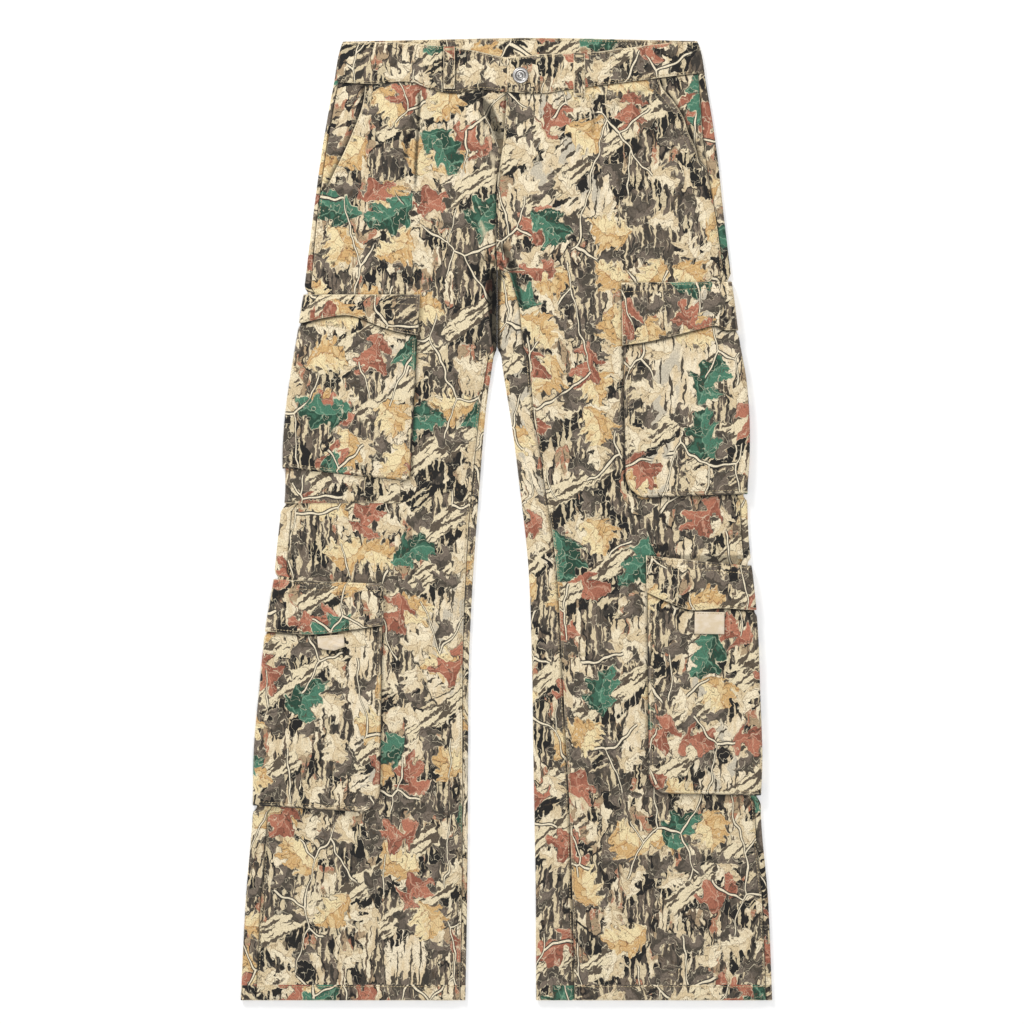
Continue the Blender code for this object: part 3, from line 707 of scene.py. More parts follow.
def printed_canvas():
    """Cotton canvas with an all-over print of bark, branches, leaves and stalks, in earth colours.

    Each motif is a share from 0 to 1 over the cloth, and is laid over those before it.
    """
    made, tree, shader = material(
        "printed_canvas",
        Roughness=0.88,
        Specular_IOR_Level=0.25,
        Sheen_Weight=0.12,
        Sheen_Roughness=0.5,
    )
    flat = on_the_roll(tree)
    loose, jagged = drift(tree, flat, (40, 32)), drift(tree, flat, (200, 120), (3, 1))
    drawn = moved_by(tree, flat, loose, 0.013)
    rough = moved_by(tree, drawn, jagged, 0.006)
    nearly = moved_by(tree, flat, jagged, 0.005)

    # Slashes, upright in some places and along the branches in others.
    upright = noise(tree, nearly, (290, 38), 0.0, 0.5, (9, 4))
    leaning = noise(tree, turned_by(tree, nearly, SLANT), (36, 250), 0.0, 0.5, (2, 6))
    zone = noise(tree, flat, (15, 12), 0.0, 0.5, (4, 4)).above(0.69, 0.05)
    slash = (leaning - upright).math("MULTIPLY_ADD", zone, upright)
    sparse = noise(tree, flat, (24, 18), 0.0, 0.5, (7, 2)).above(0.5, 0.3, (0.045, -0.015))
    light_slash, dark_slash = (slash - sparse).above(0.60, 0.03), (slash + sparse).below(0.38, 0.03)

    mottle = noise(tree, flat, (80, 34), 2.0, 0.65, (5, 2))
    stain = noise(tree, rough, (62, 26), 1.0, 0.6, (1, 7))
    patch = noise(tree, rough, (85, 85), 1.0, 0.6, (3, 5))
    paint = over(mottle.above(0.5, 0.30), "EFE3C3", "D8C6A1")
    paint = over(stain.above(0.56, 0.03), over(patch.above(0.55, 0.03), "B58468", "B5A080"), paint)
    paint = over(dark_slash, over(mottle.above(0.5, 0.1), "7B6D5B", "4C473F"), paint)

    # Trunks in shadow, edged in black and slashed with what is lit behind them.
    bark = noise(tree, rough, (34, 12), 1.0, 0.55, (2, 3))
    brown = over(dark_slash, "48443D", over(mottle.above(0.5, 0.2), "7E7263", "5C554A"))
    brown = over(light_slash, "DCCDA9", brown)
    paint = over(bark.above(0.468, 0.010), "302D2A", paint)
    paint = over(bark.above(0.489, 0.010), brown, paint)
    gaps = noise(tree, rough, (36, 25), 1.0, 0.55, (6, 1))
    paint = over(gaps.above(0.615, 0.010), over(light_slash, "D3C5A2", "2C2B29"), paint)

    # Pale standing trunks with weathered grey streaks.
    trunk = noise(tree, rough, (15, 3.6), 0.0, 0.5, (8, 5))
    pale = over(mottle.above(0.5, 0.3), "F0E4C6", "DFCDA8")
    pale = over(trunk.above(0.77, 0.05) * stain.below(0.48, 0.08), "CBC3AD", pale)
    paint = over(trunk.above(0.64, 0.008), "48433B", paint)
    pale = over(slash.below(0.345, 0.03), "5A5347", pale)
    paint = over(trunk.above(0.652, 0.008), pale, paint)

    # Branches: lit and cracked above, black below.
    log, _, chance = scattered(tree, rough, (0.165, 0.056), (0.3, 0.7), SLANT, 0.9)
    along, across = apart(tree, log)
    body = along.size().below(0.43, 0.02) * chance.below(0.52, 0.001)
    below_it = (across + 0.13).size().below(0.25, 0.03) * light_slash.scaled(-0.9, 1.0)
    paint = over(body * below_it, "2E2D2A", paint)
    limb = body * (across - 0.08).size().below(0.19, 0.03)
    paint = over(limb, over(leaning.above(0.57, 0.03), "6A6051", "E8DBB8"), paint)

    blotch = patch.above(0.5, 0.3)
    for size, offset, share, width, lobes, depth, light, dark, thread in LEAVES:
        inside, rim, veins, shade = leaves(tree, rough, size, offset, share, width, lobes, depth)
        paint = over(inside, over((shade + blotch).above(1.0, 0.8), dark, light), paint)
        paint = over(veins, thread, paint)
        paint = over(rim, over(blotch, "413D38", "E9DDBC"), paint)

    # Fine ink lines along the edges of uneven patches, over all but the stalks.
    ink = (patch - 0.47).size().below(0.012, 0.012, 0.75) * stain.above(0.45, 0.02)
    paint = over(ink, "5B4F40", paint)
    paint = over((patch - 0.62).size().below(0.012, 0.012, 0.6), "E9DEBF", paint)

    values = {"Vector": vector(tree, "MULTIPLY", drawn, (17, 9.5, 0)), "Scale": 1.0}
    stalks = add_node(
        tree, "TexVoronoi", values, voronoi_dimensions="2D", feature="DISTANCE_TO_EDGE"
    )
    line = Field(tree, stalks.outputs["Distance"])
    kept = noise(tree, flat, (17, 12), 0.0, 0.5, (3, 9)).above(0.51, 0.02)
    paint = over(line.below(0.022, 0.010) * kept, "403D37", paint)
    paint = over(line.below(0.010, 0.005) * kept, "EFE4C6", paint)

    # The dye has rubbed off the edges, unevenly, and the weave shows as a fine grain. The pale mix
    # also lays painted highlight on crease ridges, and where the wear and shade attribute is below
    # 0 the colour is darkened as painted shade in seams, beside pockets and flaps, in crease
    # troughs and between the legs.
    wear_and_shade = attribute(tree, "wear_and_shade")
    paint = over((mottle + wear_and_shade).above(1.0, 0.5, (0.0, 0.8)), "E6D8B6", paint)
    grain = noise(tree, flat, (760, 560), 1.0, 0.7, (5, 5))
    grain_and_shade = grain.above(0.5, 0.5, OPEN_DYE) * wear_and_shade.above(-0.5, 1.0, (DEEPEST_PAINTED_SHADE, 1.0))
    deepened = add_node(tree, "Gamma", {"Color": paint, "Gamma": 1.12}).outputs[0]
    values = {0: deepened, "Scale": grain_and_shade}
    paint = add_node(tree, "VectorMath", values, operation="SCALE").outputs[0]
    finished(shader, paint, grain, 0.00025, 0.5)
    return made


def webbing():
    """Flat beige webbing: ribs across the tab, with fine warp threads between them."""
    made, tree, shader = material("webbing", Roughness=0.85, Sheen_Weight=0.15)
    flat = on_the_roll(tree)
    across, along = apart(tree, flat)
    rib = (along * (math.tau / 0.0011)).math("SINE") * 0.5 + 0.5
    warp = (across * (math.tau / 0.0007)).math("SINE") * 0.5 + 0.5
    soil = noise(tree, flat, (90, 140), 3.0, 0.6)
    tone = over(soil.above(0.5, 0.4), "F6E8CE", "E9D6B2")
    # Painted shade: the hollows between the ribs are darkened.
    tone = over(rib.below(0.25, 0.3) * 0.25, "B59B72", tone)
    finished(shader, tone, rib * 0.7 + warp * 0.3, 0.0002, 0.7)
    return made


def button_metal():
    """Brushed and tumbled zinc: fine turning lines, darker tarnish in its ring and in patches."""
    made, tree, shader = material("button_metal", Metallic=1.0)
    where = add_node(tree, "TexCoord", {}).outputs["Object"]
    patch = noise(tree, where, (420, 420), 3.0, 0.6)
    scuff = noise(tree, where, (2600, 900), 2.0, 0.6, (4, 2))
    tone = over(patch.above(0.5, 0.5), "DAD8D2", "B4B1A9")
    tone = over(attribute(tree, "tarnish") * 0.8, "4A4843", tone)
    wire(tree, scuff * 0.25 + 0.26, shader.inputs["Roughness"])
    finished(shader, tone, scuff, 0.00005, 0.4)
    return made


def sewing_thread():
    """Matt tan polyester thread, a little lighter and darker from stitch to stitch."""
    made, tree, shader = material("sewing_thread", Roughness=0.7, Sheen_Weight=0.1)
    where = add_node(tree, "TexCoord", {}).outputs["Object"]
    uneven = noise(tree, where, (160, 160), 2.0, 0.6)
    finished(shader, over(uneven.above(0.5, 0.3), "D8C79E", "A8936C"))
    return made


# --- making pieces -------------------------------------------------------------------------------


def link(name, mesh, finish, smooth_to=50):
    obj = bpy.data.objects.new(name, mesh)
    bpy.context.scene.collection.objects.link(obj)
    mesh.materials.append(finish)
    mesh.shade_smooth()
    mesh.set_sharp_from_angle(angle=math.radians(smooth_to))
    return obj


def write_values(mesh, name, values):
    made = mesh.attributes.new(name, "FLOAT", "POINT")
    made.data.foreach_set("value", values.astype(np.float32))


def arc_lengths(points):
    """Along each row and each column of a grid, the distance run over it from its start."""
    rows = np.linalg.norm(np.diff(points, axis=1), axis=-1)
    columns = np.linalg.norm(np.diff(points, axis=0), axis=-1)
    return (
        np.pad(np.cumsum(rows, axis=1), ((0, 0), (1, 0))),
        np.pad(np.cumsum(columns, axis=0), ((1, 0), (0, 0))),
    )


def cut_map(points, roll):
    """Where each point of a piece lies on the flat roll of cloth, in metres.

    Across it is the distance run over the surface. Down it is the distance seen from above, plus
    what the surface's rises add. `roll` is (across, along, turn): where the piece is cut.
    """
    run, fall = arc_lengths(points)
    flat_fall = np.abs(np.diff(points[..., 1], axis=0))
    extra = fall - np.pad(np.cumsum(flat_fall, axis=0), ((1, 0), (0, 0)))
    u = run + points[:, :1, 0]
    v = points[..., 1] - extra * 0.9
    across, along, turn = roll
    spun = u * math.cos(turn) - v * math.sin(turn), u * math.sin(turn) + v * math.cos(turn)
    return np.stack([spun[0] + across, spun[1] + along], axis=-1)


def cell_areas(points):
    long, wide = points[1:, :-1] - points[:-1, :-1], points[:-1, 1:] - points[:-1, :-1]
    far_long, far_wide = points[:-1, 1:] - points[1:, 1:], points[1:, :-1] - points[1:, 1:]
    near = np.linalg.norm(np.cross(long, wide), axis=-1)
    return (near + np.linalg.norm(np.cross(far_long, far_wide), axis=-1)) / 2


def cloth(name, surface, roll, node, thickness=CLOTH, kept=None, wear_and_shade=None,
          shifted=None, finish=None, under=False, backwards=False):
    """A piece of cloth from a grid, as (across, down, height), with rows down and columns in +X.

    `kept` says which cells are cloth. Its wear and shade values go from 1 where a point is rubbed
    pale, or where a crease ridge has a painted highlight, to -1 where painted shade darkens it,
    where a seam, pocket, fold or the other leg hides it. `shifted` is the step on the roll, in
    metres, of each cell that belongs to a separately cut part. `under` says that the grid is given
    as seen through the cloth, and `backwards` that its columns run in -X.
    """
    points = place(*surface)
    rows, columns = points.shape[:2]
    kept = np.ones((rows - 1, columns - 1), bool) if kept is None else kept
    wear_and_shade = np.zeros((rows, columns)) if wear_and_shade is None else wear_and_shade
    if backwards:
        points, wear_and_shade = points[:, ::-1], wear_and_shade[:, ::-1]
    index = np.arange(rows * columns).reshape(rows, columns)
    corners = [index[:-1, :-1], index[1:, :-1], index[1:, 1:], index[:-1, 1:]]
    cells = np.stack(corners[::-1] if under else corners, axis=-1)[kept]
    used, compact = np.unique(cells, return_inverse=True)
    mesh = bpy.data.meshes.new(name)
    mesh.from_pydata(points.reshape(-1, 3)[used], [], compact.reshape(-1, 4))
    at = cut_map(points, roll).reshape(-1, 2)[cells]
    if shifted is not None:
        at = at + shifted[kept][:, None]
    mesh.uv_layers.new(name="cut").data.foreach_set("uv", at.astype(np.float32).ravel())
    write_values(mesh, "wear_and_shade", np.clip(wear_and_shade.ravel()[used], -1, 1))
    obj = link(name, mesh, finish or CANVAS)
    wall = obj.modifiers.new("wall", "SOLIDIFY")
    wall.thickness = thickness / 1000
    wall.offset = -1
    wall.use_quality_normals = True

    whole = np.pad(kept, ((0, 1), (0, 1)), mode="edge")
    area = float(cell_areas(points)[kept].sum())
    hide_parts(node)
    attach(obj, "root")
    return obj


class Threads:
    """Rows of stitches: short rounded lengths of thread, gathered into one mesh.

    Each stitch is a bar of RINGS, at (along, radius, lift): the first is a share of its length, the
    second of its thickness, and the lift is in millimetres out of the cloth.
    """

    RINGS = np.array([
        (-0.5, 0.3, -0.34), (-0.36, 0.92, -0.04), (0, 1, 0.06), (0.36, 0.92, -0.04),
        (0.5, 0.3, -0.34),
    ])
    SIDES = 6

    def __init__(self):
        self.points, self.faces, self.count = [], [], 0
        self.draw = np.random.default_rng(21)

    def row(self, across, down, height, pitch=3.3, length=2.55, thick=0.36, up=1.0):
        """Stitches laid end to end along a path, out of the cloth, or under it where `up` is -1."""
        across, down, height = np.broadcast_arrays(across, down, height)
        path = np.stack([across, LENGTH / 2 - down, height], axis=-1).astype(float).reshape(-1, 3)
        steps = np.linalg.norm(np.diff(path, axis=0), axis=-1)
        run = np.concatenate([[0], np.cumsum(steps)])
        count = int(run[-1] / pitch)
        if count < 1:
            return
        at = (np.arange(count) + 0.5) * run[-1] / count
        at = at + self.draw.uniform(-0.12, 0.12, count)

        def spot(where):
            return np.stack([np.interp(where, run, path[:, axis]) for axis in range(3)], axis=-1)

        ahead = spot(at + length / 2) - spot(at - length / 2)
        ahead /= np.linalg.norm(ahead, axis=-1)[:, None]
        sideways = np.cross([0, 0, up], ahead)
        sideways /= np.linalg.norm(sideways, axis=-1)[:, None]
        ahead = ahead + sideways * self.draw.uniform(-0.06, 0.06, count)[:, None]
        above = np.cross(ahead, sideways)
        self.bars(spot(at), ahead, sideways, above, length, thick)

    def bars(self, middle, ahead, sideways, above, length, thick):
        angles = np.arange(self.SIDES) * math.tau / self.SIDES
        along, radius, lift = self.RINGS.T
        ring = radius[:, None] * thick
        rise = ring * 0.75 * np.sin(angles) + lift[:, None] + 0.1
        points = (
            middle[:, None, None]
            + ahead[:, None, None] * (along * length)[None, :, None, None]
            + sideways[:, None, None] * (ring * np.cos(angles))[None, ..., None]
            + above[:, None, None] * rise[None, ..., None]
        )
        rings, sides = len(along), self.SIDES
        index = np.arange(rings * sides).reshape(rings, sides)
        turned = np.roll(index, -1, axis=1)
        walls = np.stack([index[:-1], turned[:-1], turned[1:], index[1:]], axis=-1).reshape(-1, 4)
        ends = [index[0, [0, 3, 2, 1]], index[0, [0, 5, 4, 3]],
                index[-1, [0, 1, 2, 3]], index[-1, [0, 3, 4, 5]]]
        faces = np.concatenate([walls, ends])
        starts = self.count + np.arange(len(middle)) * rings * sides
        self.points.append(points.reshape(-1, 3))
        self.faces.append((faces[None] + starts[:, None, None]).reshape(-1, 4))
        self.count += len(middle) * rings * sides

    def tack(self, across, down, height, width, depth, rows=11):
        """A bar tack: a dense zigzag of thread across a strap."""
        at = np.linspace(-0.5, 0.5, rows) * depth + down
        ends = np.array([-0.5, 0.5])
        for turn, line in enumerate(at):
            tilt = ends * depth / rows * (1 if turn % 2 else -1)
            self.row(ends * width + across, line + tilt, height, width, width * 0.98, 0.3)

    def finish(self, name, finish):
        mesh = bpy.data.meshes.new(name)
        mesh.from_pydata(np.concatenate(self.points) / 1000, [], np.concatenate(self.faces))
        obj = link(name, mesh, finish)
        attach(obj, "root")
        return obj


# --- legs ----------------------------------------------------------------------------------------


def sewn_edge(distance, along, seed, drop, inset, gathers=0.16, run=1.3):
    """A turned and stitched edge: rounded off, grooved by its stitches and gathered beside them."""
    edge = rounded(distance, drop, run) + stitched(distance, inset)
    return edge + pucker(along, distance, seed, gathers)


def in_order(leg, outer, inner):
    """What belongs to a leg's outer and inner side, put in +X order."""
    return (outer, inner) if leg == "right" else (inner, outer)


def sew(face, across, down, **stitch):
    """A row of stitches on a surface whose height is `face`, a function of across and down."""
    across, down = np.broadcast_arrays(across, down)
    THREADS.row(across, down, face(across, down), **stitch)


def from_top_edge(rows):
    """How much of its top edge's bend each row of a grid has, from 1 down to 0, as a column."""
    return np.clip(1 - (rows - rows[0]) / TOP_FADE, 0, 1)[:, None]


def grid_between(rows, columns, left, right, start):
    """Across and down for a grid whose sides follow `left` and `right`, functions of down.

    `start` is a function of across for the top edge: the rows below it are shifted less and less.
    """
    down = np.repeat(rows[:, None], len(columns), axis=1)
    for _ in range(3):
        across = left(down) + columns * (right(down) - left(down))
        down = rows[:, None] + (start(across) - rows[0]) * from_top_edge(rows)
    return left(down) + columns * (right(down) - left(down)), down


def hem_rise(down):
    """The hem is cloth turned up inside: a groove at its top, thicker below, rounded at its end."""
    into = down - (LENGTH - HEM)
    return 0.45 * ease(into / 1.6) - 0.4 * bell(into, 0.9) + rounded(LENGTH - down, 0.9, 1.4)


def mouth_edge(leg, down):
    return smooth(POCKET_MOUTH[leg], "across", down)


def front_outer(leg, down):
    """A front's outer edge: the pocket mouth, and the side seam below it."""
    out = OUTSIDE[leg]
    seam = out * outseam(leg, down)
    mouth = np.minimum(out * mouth_edge(leg, down), seam)
    below = ease((down - MOUTH_END[leg] + 3) / 6)
    return (mouth + below * (seam - mouth)) * out - out * SEAM_GAP / 2


def front_inner(leg, down):
    """A front's inner edge: the fly, which the right front runs on under, and the inseam."""
    underlap = np.interp(down, [180, 218], [FLY_UNDERLAP, -SEAM_GAP / 2])
    fly = smooth(FLY, "across", down) + (underlap if leg == "right" else SEAM_GAP / 2)
    seam = inseam(leg, down) + OUTSIDE[leg] * SEAM_GAP / 2
    return fly + ease((down - CROTCH + 1) / 5) * (seam - fly)


def front_height(leg, across, down):
    """The front's upper face: the leg's form with its seams, hem, mouth edge and fly."""
    outer = np.abs(across - front_outer(leg, down))
    inner = np.abs(across - front_inner(leg, down))
    waist = down - waist_seam(across)
    beside_mouth = 1 - ease((down - MOUTH_END[leg]) / 8)
    below_crotch = ease((down - CROTCH - 4) / 14)
    height = top(leg, across, down)
    height = height - 0.9 * beside(waist, 4.5) - 1.25 * ease((1.6 - waist) / 1.8)
    height = height + sewn_edge(outer, down, 4, 0.7, 2.0)
    height = height + beside_mouth * (stitched(outer, 8.2) + 0.55 * bell(outer, 11))
    height = height + below_crotch * sewn_edge(inner, down, 5, 0.6, 2.1)
    if leg == "left":
        height = height + (1 - below_crotch) * sewn_edge(inner, down, 6, 0.5, 2.4, 0.2)
    else:
        past_fly = across - smooth(FLY, "across", down)
        tucked = ease((past_fly + 9) / 8) * ease((CROTCH - 3 - down) / 26)
        height = height - (CLOTH + 0.8) * tucked
    height = height + hem_rise(down) + pucker(across, LENGTH - HEM - down + 4, 7, 0.13, 6)
    return np.maximum(height, 2 * CLOTH + SEAM_GAP)


def cell_middles(values):
    return (values[:-1, :-1] + values[1:, :-1] + values[1:, 1:] + values[:-1, 1:]) / 4


def hem_shift(down, step):
    """The hem's own place on the roll, as a step for each cell."""
    in_hem = cell_middles(down) > LENGTH - HEM
    return in_hem[..., None] * np.array(step)


def leg_rows(step):
    return GRID_TOP + crowded(LENGTH - GRID_TOP, step) * (LENGTH - GRID_TOP)


def front(leg, roll):
    """A front panel: fly or inside leg on one side, pocket mouth or side seam on the other."""
    out = OUTSIDE[leg]
    across, down = grid_between(
        leg_rows(3.0),
        crowded(225, 2.7),
        *in_order(leg, lambda d: front_outer(leg, d), lambda d: front_inner(leg, d)),
        lambda x: waist_seam(x) + WAIST_GAP - 3.6,
    )
    outer = np.abs(across - front_outer(leg, down))
    inner = np.abs(across - front_inner(leg, down))
    wear_and_shade = 0.7 * bell(outer, 1.3) * ease((MOUTH_END[leg] - down) / 5)
    wear_and_shade = wear_and_shade + 0.5 * bell(LENGTH - down, 1.4) + 0.4 * bell(outer, 1.2) + 0.5 * bell(inner, 1.2)
    # Painted shade: the cloth is darkened beside the cargo pockets, just below the waist seam,
    # along the fly's overlap and in the valley between the legs; the creases add painted highlight
    # and shade.
    painted_shade = np.maximum(
        painted_shade_by_pockets(leg, across, down), bell(down - waist_seam(across), 2.4)
    )
    if leg == "right":
        from_fly = smooth(FLY, "across", down) - across
        painted_shade = np.maximum(painted_shade, bell(from_fly - 0.5, 2.6) * (down < CROTCH))
    wear_and_shade = (wear_and_shade + crease_wear_highlight_and_shade(across, down)) * (1 - painted_shade) - 0.72 * painted_shade
    cloth(
        f"front_panel_{leg}",
        (across, down, front_height(leg, across, down)),
        roll,
        f"front_{leg}",
        wear_and_shade=np.minimum(wear_and_shade, 0.6 - 1.6 * shade_between_legs(across, down)),
        shifted=hem_shift(down, (0.21, 0.13)),
    )

    def face(x, at):
        return front_height(leg, x, at)

    def sew_along(edge, inset, start, end, towards):
        at = np.arange(start, end, STITCH_STEP)
        sew(face, edge(leg, at) + towards * inset, at)

    hem = LENGTH - HEM - 2
    pockets = [row for rows in pressed_rows(leg) for row in (rows[1] + 2, rows[2] - 4)]
    clear = np.sort([MOUTH_END[leg] + 2, *pockets, hem]).reshape(-1, 2)
    for start, end in clear:
        sew_along(front_outer, 2.0, start, end, -out)
    for inset in (2.0, 8.2):
        start = {"right": 54, "left": 46}[leg]
        sew_along(front_outer, inset, start, MOUTH_END[leg] - 4, -out)
    sew_along(front_inner, 2.1, INSEAM_STITCHES_FROM, hem, out)
    if leg == "left":
        sew_along(front_inner, 2.4, 64, CROTCH - 8, 1)
    ends = in_order(leg, front_outer(leg, LENGTH), front_inner(leg, LENGTH))
    sew(face, np.arange(*ends, STITCH_STEP), HEM_STITCHES)


BACK_CREASES = (
    (9, 0.9, (-150, 92), (-60, 128)),
    (8, 0.8, (40, 90), (150, 120)),
    (7, 0.9, (-28, 180), (-80, 236)),
    (7, 0.8, (10, 190), (70, 246)),
    (10, 0.9, (-190, 340), (-60, 372)),
    (9, 0.8, (50, 360), (210, 338)),
    (11, 0.9, (-210, 545), (-80, 520)),
    (10, 0.8, (70, 520), (220, 556)),
    (9, 0.7, (-220, 600), (-90, 625)),
    (10, 0.8, (60, 640), (200, 618)),
    (14, 0.8, (-130, 700), (-110, 860)),
    (13, 0.8, (150, 700), (175, 880)),
    (12, 0.7, (-240, 930), (-110, 905)),
    (12, 0.7, (80, 930), (230, 955)),
)


def under_relief(across, down):
    """How far the cloth on the table rises off it, in low folds and slow waves, never below it."""
    total = np.maximum(waves(across, down, 11, 60, 0.16) + 0.02, 0)
    for width, height, *points in BACK_CREASES:
        total = total + crease(across, down, width, height, *points)
    return total


def half_turn(edge, towards, height, turn, steps):
    """Across and height round a leg's edge, from its top to the table; `towards` is -1 or 1."""
    angles = np.linspace(math.pi / 2, -math.pi / 2, steps)
    return edge + towards * turn * (np.cos(angles) - 1), height / 2 * (1 + np.sin(angles))


def at_seam(leg, across, down, past):
    """The back's face beside a seam, and `past` it, where it runs on under the front."""
    return top(leg, across, down) - 1.5 * ease((past + 0.4) / 1.2) - 0.45 * bell(past, 1.3)


def back_section(leg, down):
    """A back panel's section at each `down`: across, height, and the distance to its two seams.

    It runs from under the front's outer edge over the seam, round the leg's side, along the table,
    round the leg's inner side, and up over the inner seam to under the front's inner edge.
    """
    out = OUTSIDE[leg]
    down = down[:, None]
    outer, inner = side(leg, down), inner_edge(leg, down)
    seam = outseam(leg, down) + out * SEAM_GAP / 2
    inner_seam = inseam(leg, down) - out * SEAM_GAP / 2
    seat = smooth(SEAT_SEAM, "across", down) + out * SEAM_GAP / 2
    beyond = np.array([SEWN_UNDER, 2.6, 1.3, 0.5, 0.0])

    run = np.array([0.06, 0.16, 0.32, 0.55, 0.78])
    flap = np.hstack([seam - out * beyond, seam + (outer - out * TURN - seam) * run])
    past = (seam - flap) * out
    flap_z = at_seam(leg, flap, down, past)
    round_x, round_z = half_turn(outer, out, top(leg, outer - out * TURN, down), TURN, 13)

    turn = between(EDGE_AT_INSEAM, "turn", down)
    end_x, end_z = half_turn(inner, -out, top(leg, inner + out * turn, down), turn, 11)

    above_legs = down < CROTCH - CROTCH_TUCK
    start, stop = round_x[:, -1:], np.where(above_legs, seat, end_x[:, -1:])
    floor_x = start + (stop - start) * crowded(170, 6.5)[1:]
    from_sides = np.minimum(np.abs(floor_x - start), np.abs(floor_x - stop))
    floor_z = under_relief(floor_x, down) * ease((from_sides - 2) / 16)
    floor_z = floor_z + 0.5 * above_legs * bell(floor_x - seat, 1.4)

    run = np.array([0.12, 0.26, 0.42, 0.6, 0.76, 0.88, 1.0])
    start = end_x[:, :1]
    wrap_x = np.hstack([start + (inner_seam - start) * run, inner_seam + out * beyond[-2::-1]])
    past_inner = (wrap_x - inner_seam) * out
    wrap_z = at_seam(leg, wrap_x, down, past_inner)
    wrap_z = wrap_z + stitched(-past_inner, 2.4, 0.25) + pucker(down, -past_inner, 9, 0.12)
    wrap_z = np.maximum(wrap_z - 2.0 * ease((CROTCH + 3.5 - down) / 4), CLOTH + 0.1)

    across = np.hstack([flap, round_x, floor_x, end_x[:, -2::-1], wrap_x])
    height = np.hstack([flap_z, round_z, floor_z, end_z[:, -2::-1], wrap_z])
    seams = np.full(across.shape, FAR)
    seams[:, : flap.shape[1]] = np.abs(past)
    seams[:, -wrap_x.shape[1] :] = np.abs(past_inner)
    return across, height, seams, flap.shape[1] + round_x.shape[1] + floor_x.shape[1]


def back(leg, roll):
    """A back panel: flat on the table, and turned round the leg's edges up to its seams."""
    out = OUTSIDE[leg]
    rows = leg_rows(4.2)
    legs_start = CROTCH - CROTCH_TUCK
    crotch_rows = legs_start + np.array([-0.1, 0.1, 1.5, 3, 4.5, 6, 8])
    rows = np.sort(np.concatenate([rows[np.abs(rows - CROTCH - 1) > 7], crotch_rows]))
    across, height, seams, floor_end = back_section(leg, rows)
    start = back_waist_seam(across) + SEAM_GAP - 2.2
    down = rows[:, None] + (start - rows[0]) * from_top_edge(rows)
    near = rows < rows[0] + TOP_FADE + 2
    for column in range(across.shape[1]):
        found = back_section(leg, down[near, column])
        across[near, column] = found[0][:, column]
        height[near, column] = found[1][:, column]
    height = height + np.where(seams < FAR, hem_rise(down), 0)
    off_table = np.arange(across.shape[1]) >= floor_end
    # Rubbed pale at the hem; painted shade darkens the cloth where it runs under the front's seams
    # and in the valley between the legs.
    wear_and_shade = 0.5 * bell(LENGTH - down, 1.4) - 0.7 * bell(seams, 1.2)
    kept = np.ones((len(rows) - 1, across.shape[1] - 1), bool)
    kept[: int(np.sum(rows < legs_start)), floor_end - 1 :] = False
    cloth(
        f"back_panel_{leg}",
        (across, down, height),
        roll,
        f"back_{leg}",
        kept=kept,
        wear_and_shade=np.minimum(wear_and_shade, 0.6 - 1.6 * shade_between_legs(across, down) * off_table),
        shifted=hem_shift(down, (0.17, 0.09)),
        under=leg == "right",
    )
    at = np.arange(INSEAM_STITCHES_FROM, LENGTH - HEM - 2, STITCH_STEP)
    x = inseam(leg, at) - out * (SEAM_GAP / 2 + 2.4)
    sew(lambda x, at: top(leg, x, at) - 0.25, x, at)
    ends = in_order(leg, side(leg, LENGTH) - out * 6, inner_edge(leg, LENGTH) + out * 6)
    THREADS.row(np.arange(*ends, STITCH_STEP), HEM_STITCHES, UNDER_STITCHES, up=-1.0)
    at = np.arange(46, CROTCH - 4, STITCH_STEP)
    for inset in (2.4, 8.0):
        x = smooth(SEAT_SEAM, "across", at) + out * inset
        THREADS.row(x, at, UNDER_STITCHES, up=-1.0)


# --- hips ----------------------------------------------------------------------------------------


def pocket_facing(leg, roll):
    """The cloth seen in a front pocket's mouth, under the front panel's edge."""
    out = OUTSIDE[leg]

    def outer(down):
        return outseam(leg, down) - out * SEAM_GAP / 2

    def inner(down):
        mouth = np.minimum(out * mouth_edge(leg, down), out * outer(down)) * out
        return mouth - out * FACING_UNDERLAP * 1.6

    length = MOUTH_END[leg] + 8 - GRID_TOP
    across, down = grid_between(
        GRID_TOP + crowded(length, 3.0) * length,
        crowded(45, 3.0),
        *in_order(leg, outer, inner),
        lambda x: waist_seam(x) - 2.6,
    )
    waist = down - waist_seam(across)
    leg_top = top(leg, across, down)
    height = leg_top - CLOTH - 0.5 - 0.8 * ease((1.2 - waist) / 1.6)
    from_seam = np.abs(across - outer(down))
    ending = ease((down - MOUTH_END[leg] + 2) / 8)
    open_seam = height + (CLOTH + 0.5) * bell(from_seam - 1, 5) * (1 - ending)
    height = np.minimum(open_seam, leg_top - 0.2) + rounded(from_seam, 0.5)
    from_mouth = out * (across - mouth_edge(leg, down))
    # Painted shade near the pocket's mouth, under the front panel's edge, and under the waist seam;
    # its outer seam edge is rubbed pale.
    painted_shade = np.maximum(beside(from_mouth, 5.0), beside(waist, 2.4))
    cloth(
        f"facing_{leg}",
        (across, down, height),
        roll,
        f"pocket_facing_{leg}",
        wear_and_shade=0.4 * bell(from_seam, 1.2) * (1 - painted_shade) - 0.8 * painted_shade,
    )


def band_height(leg, across, down):
    """The waistband's outer face, rounded at its edges and drawn in at its rows of stitches."""
    below_top, above_seam = down - band_top(across), waist_seam(across) - down
    height = top(leg, across, down) + 0.35 * ease(below_top / 4) * ease(above_seam / 4)
    height = height + sewn_edge(below_top, across, 12, 0.8, 2.6, 0.13, 1.6)
    return height + sewn_edge(above_seam, across, 13, 0.9, 2.4, run=1.5)


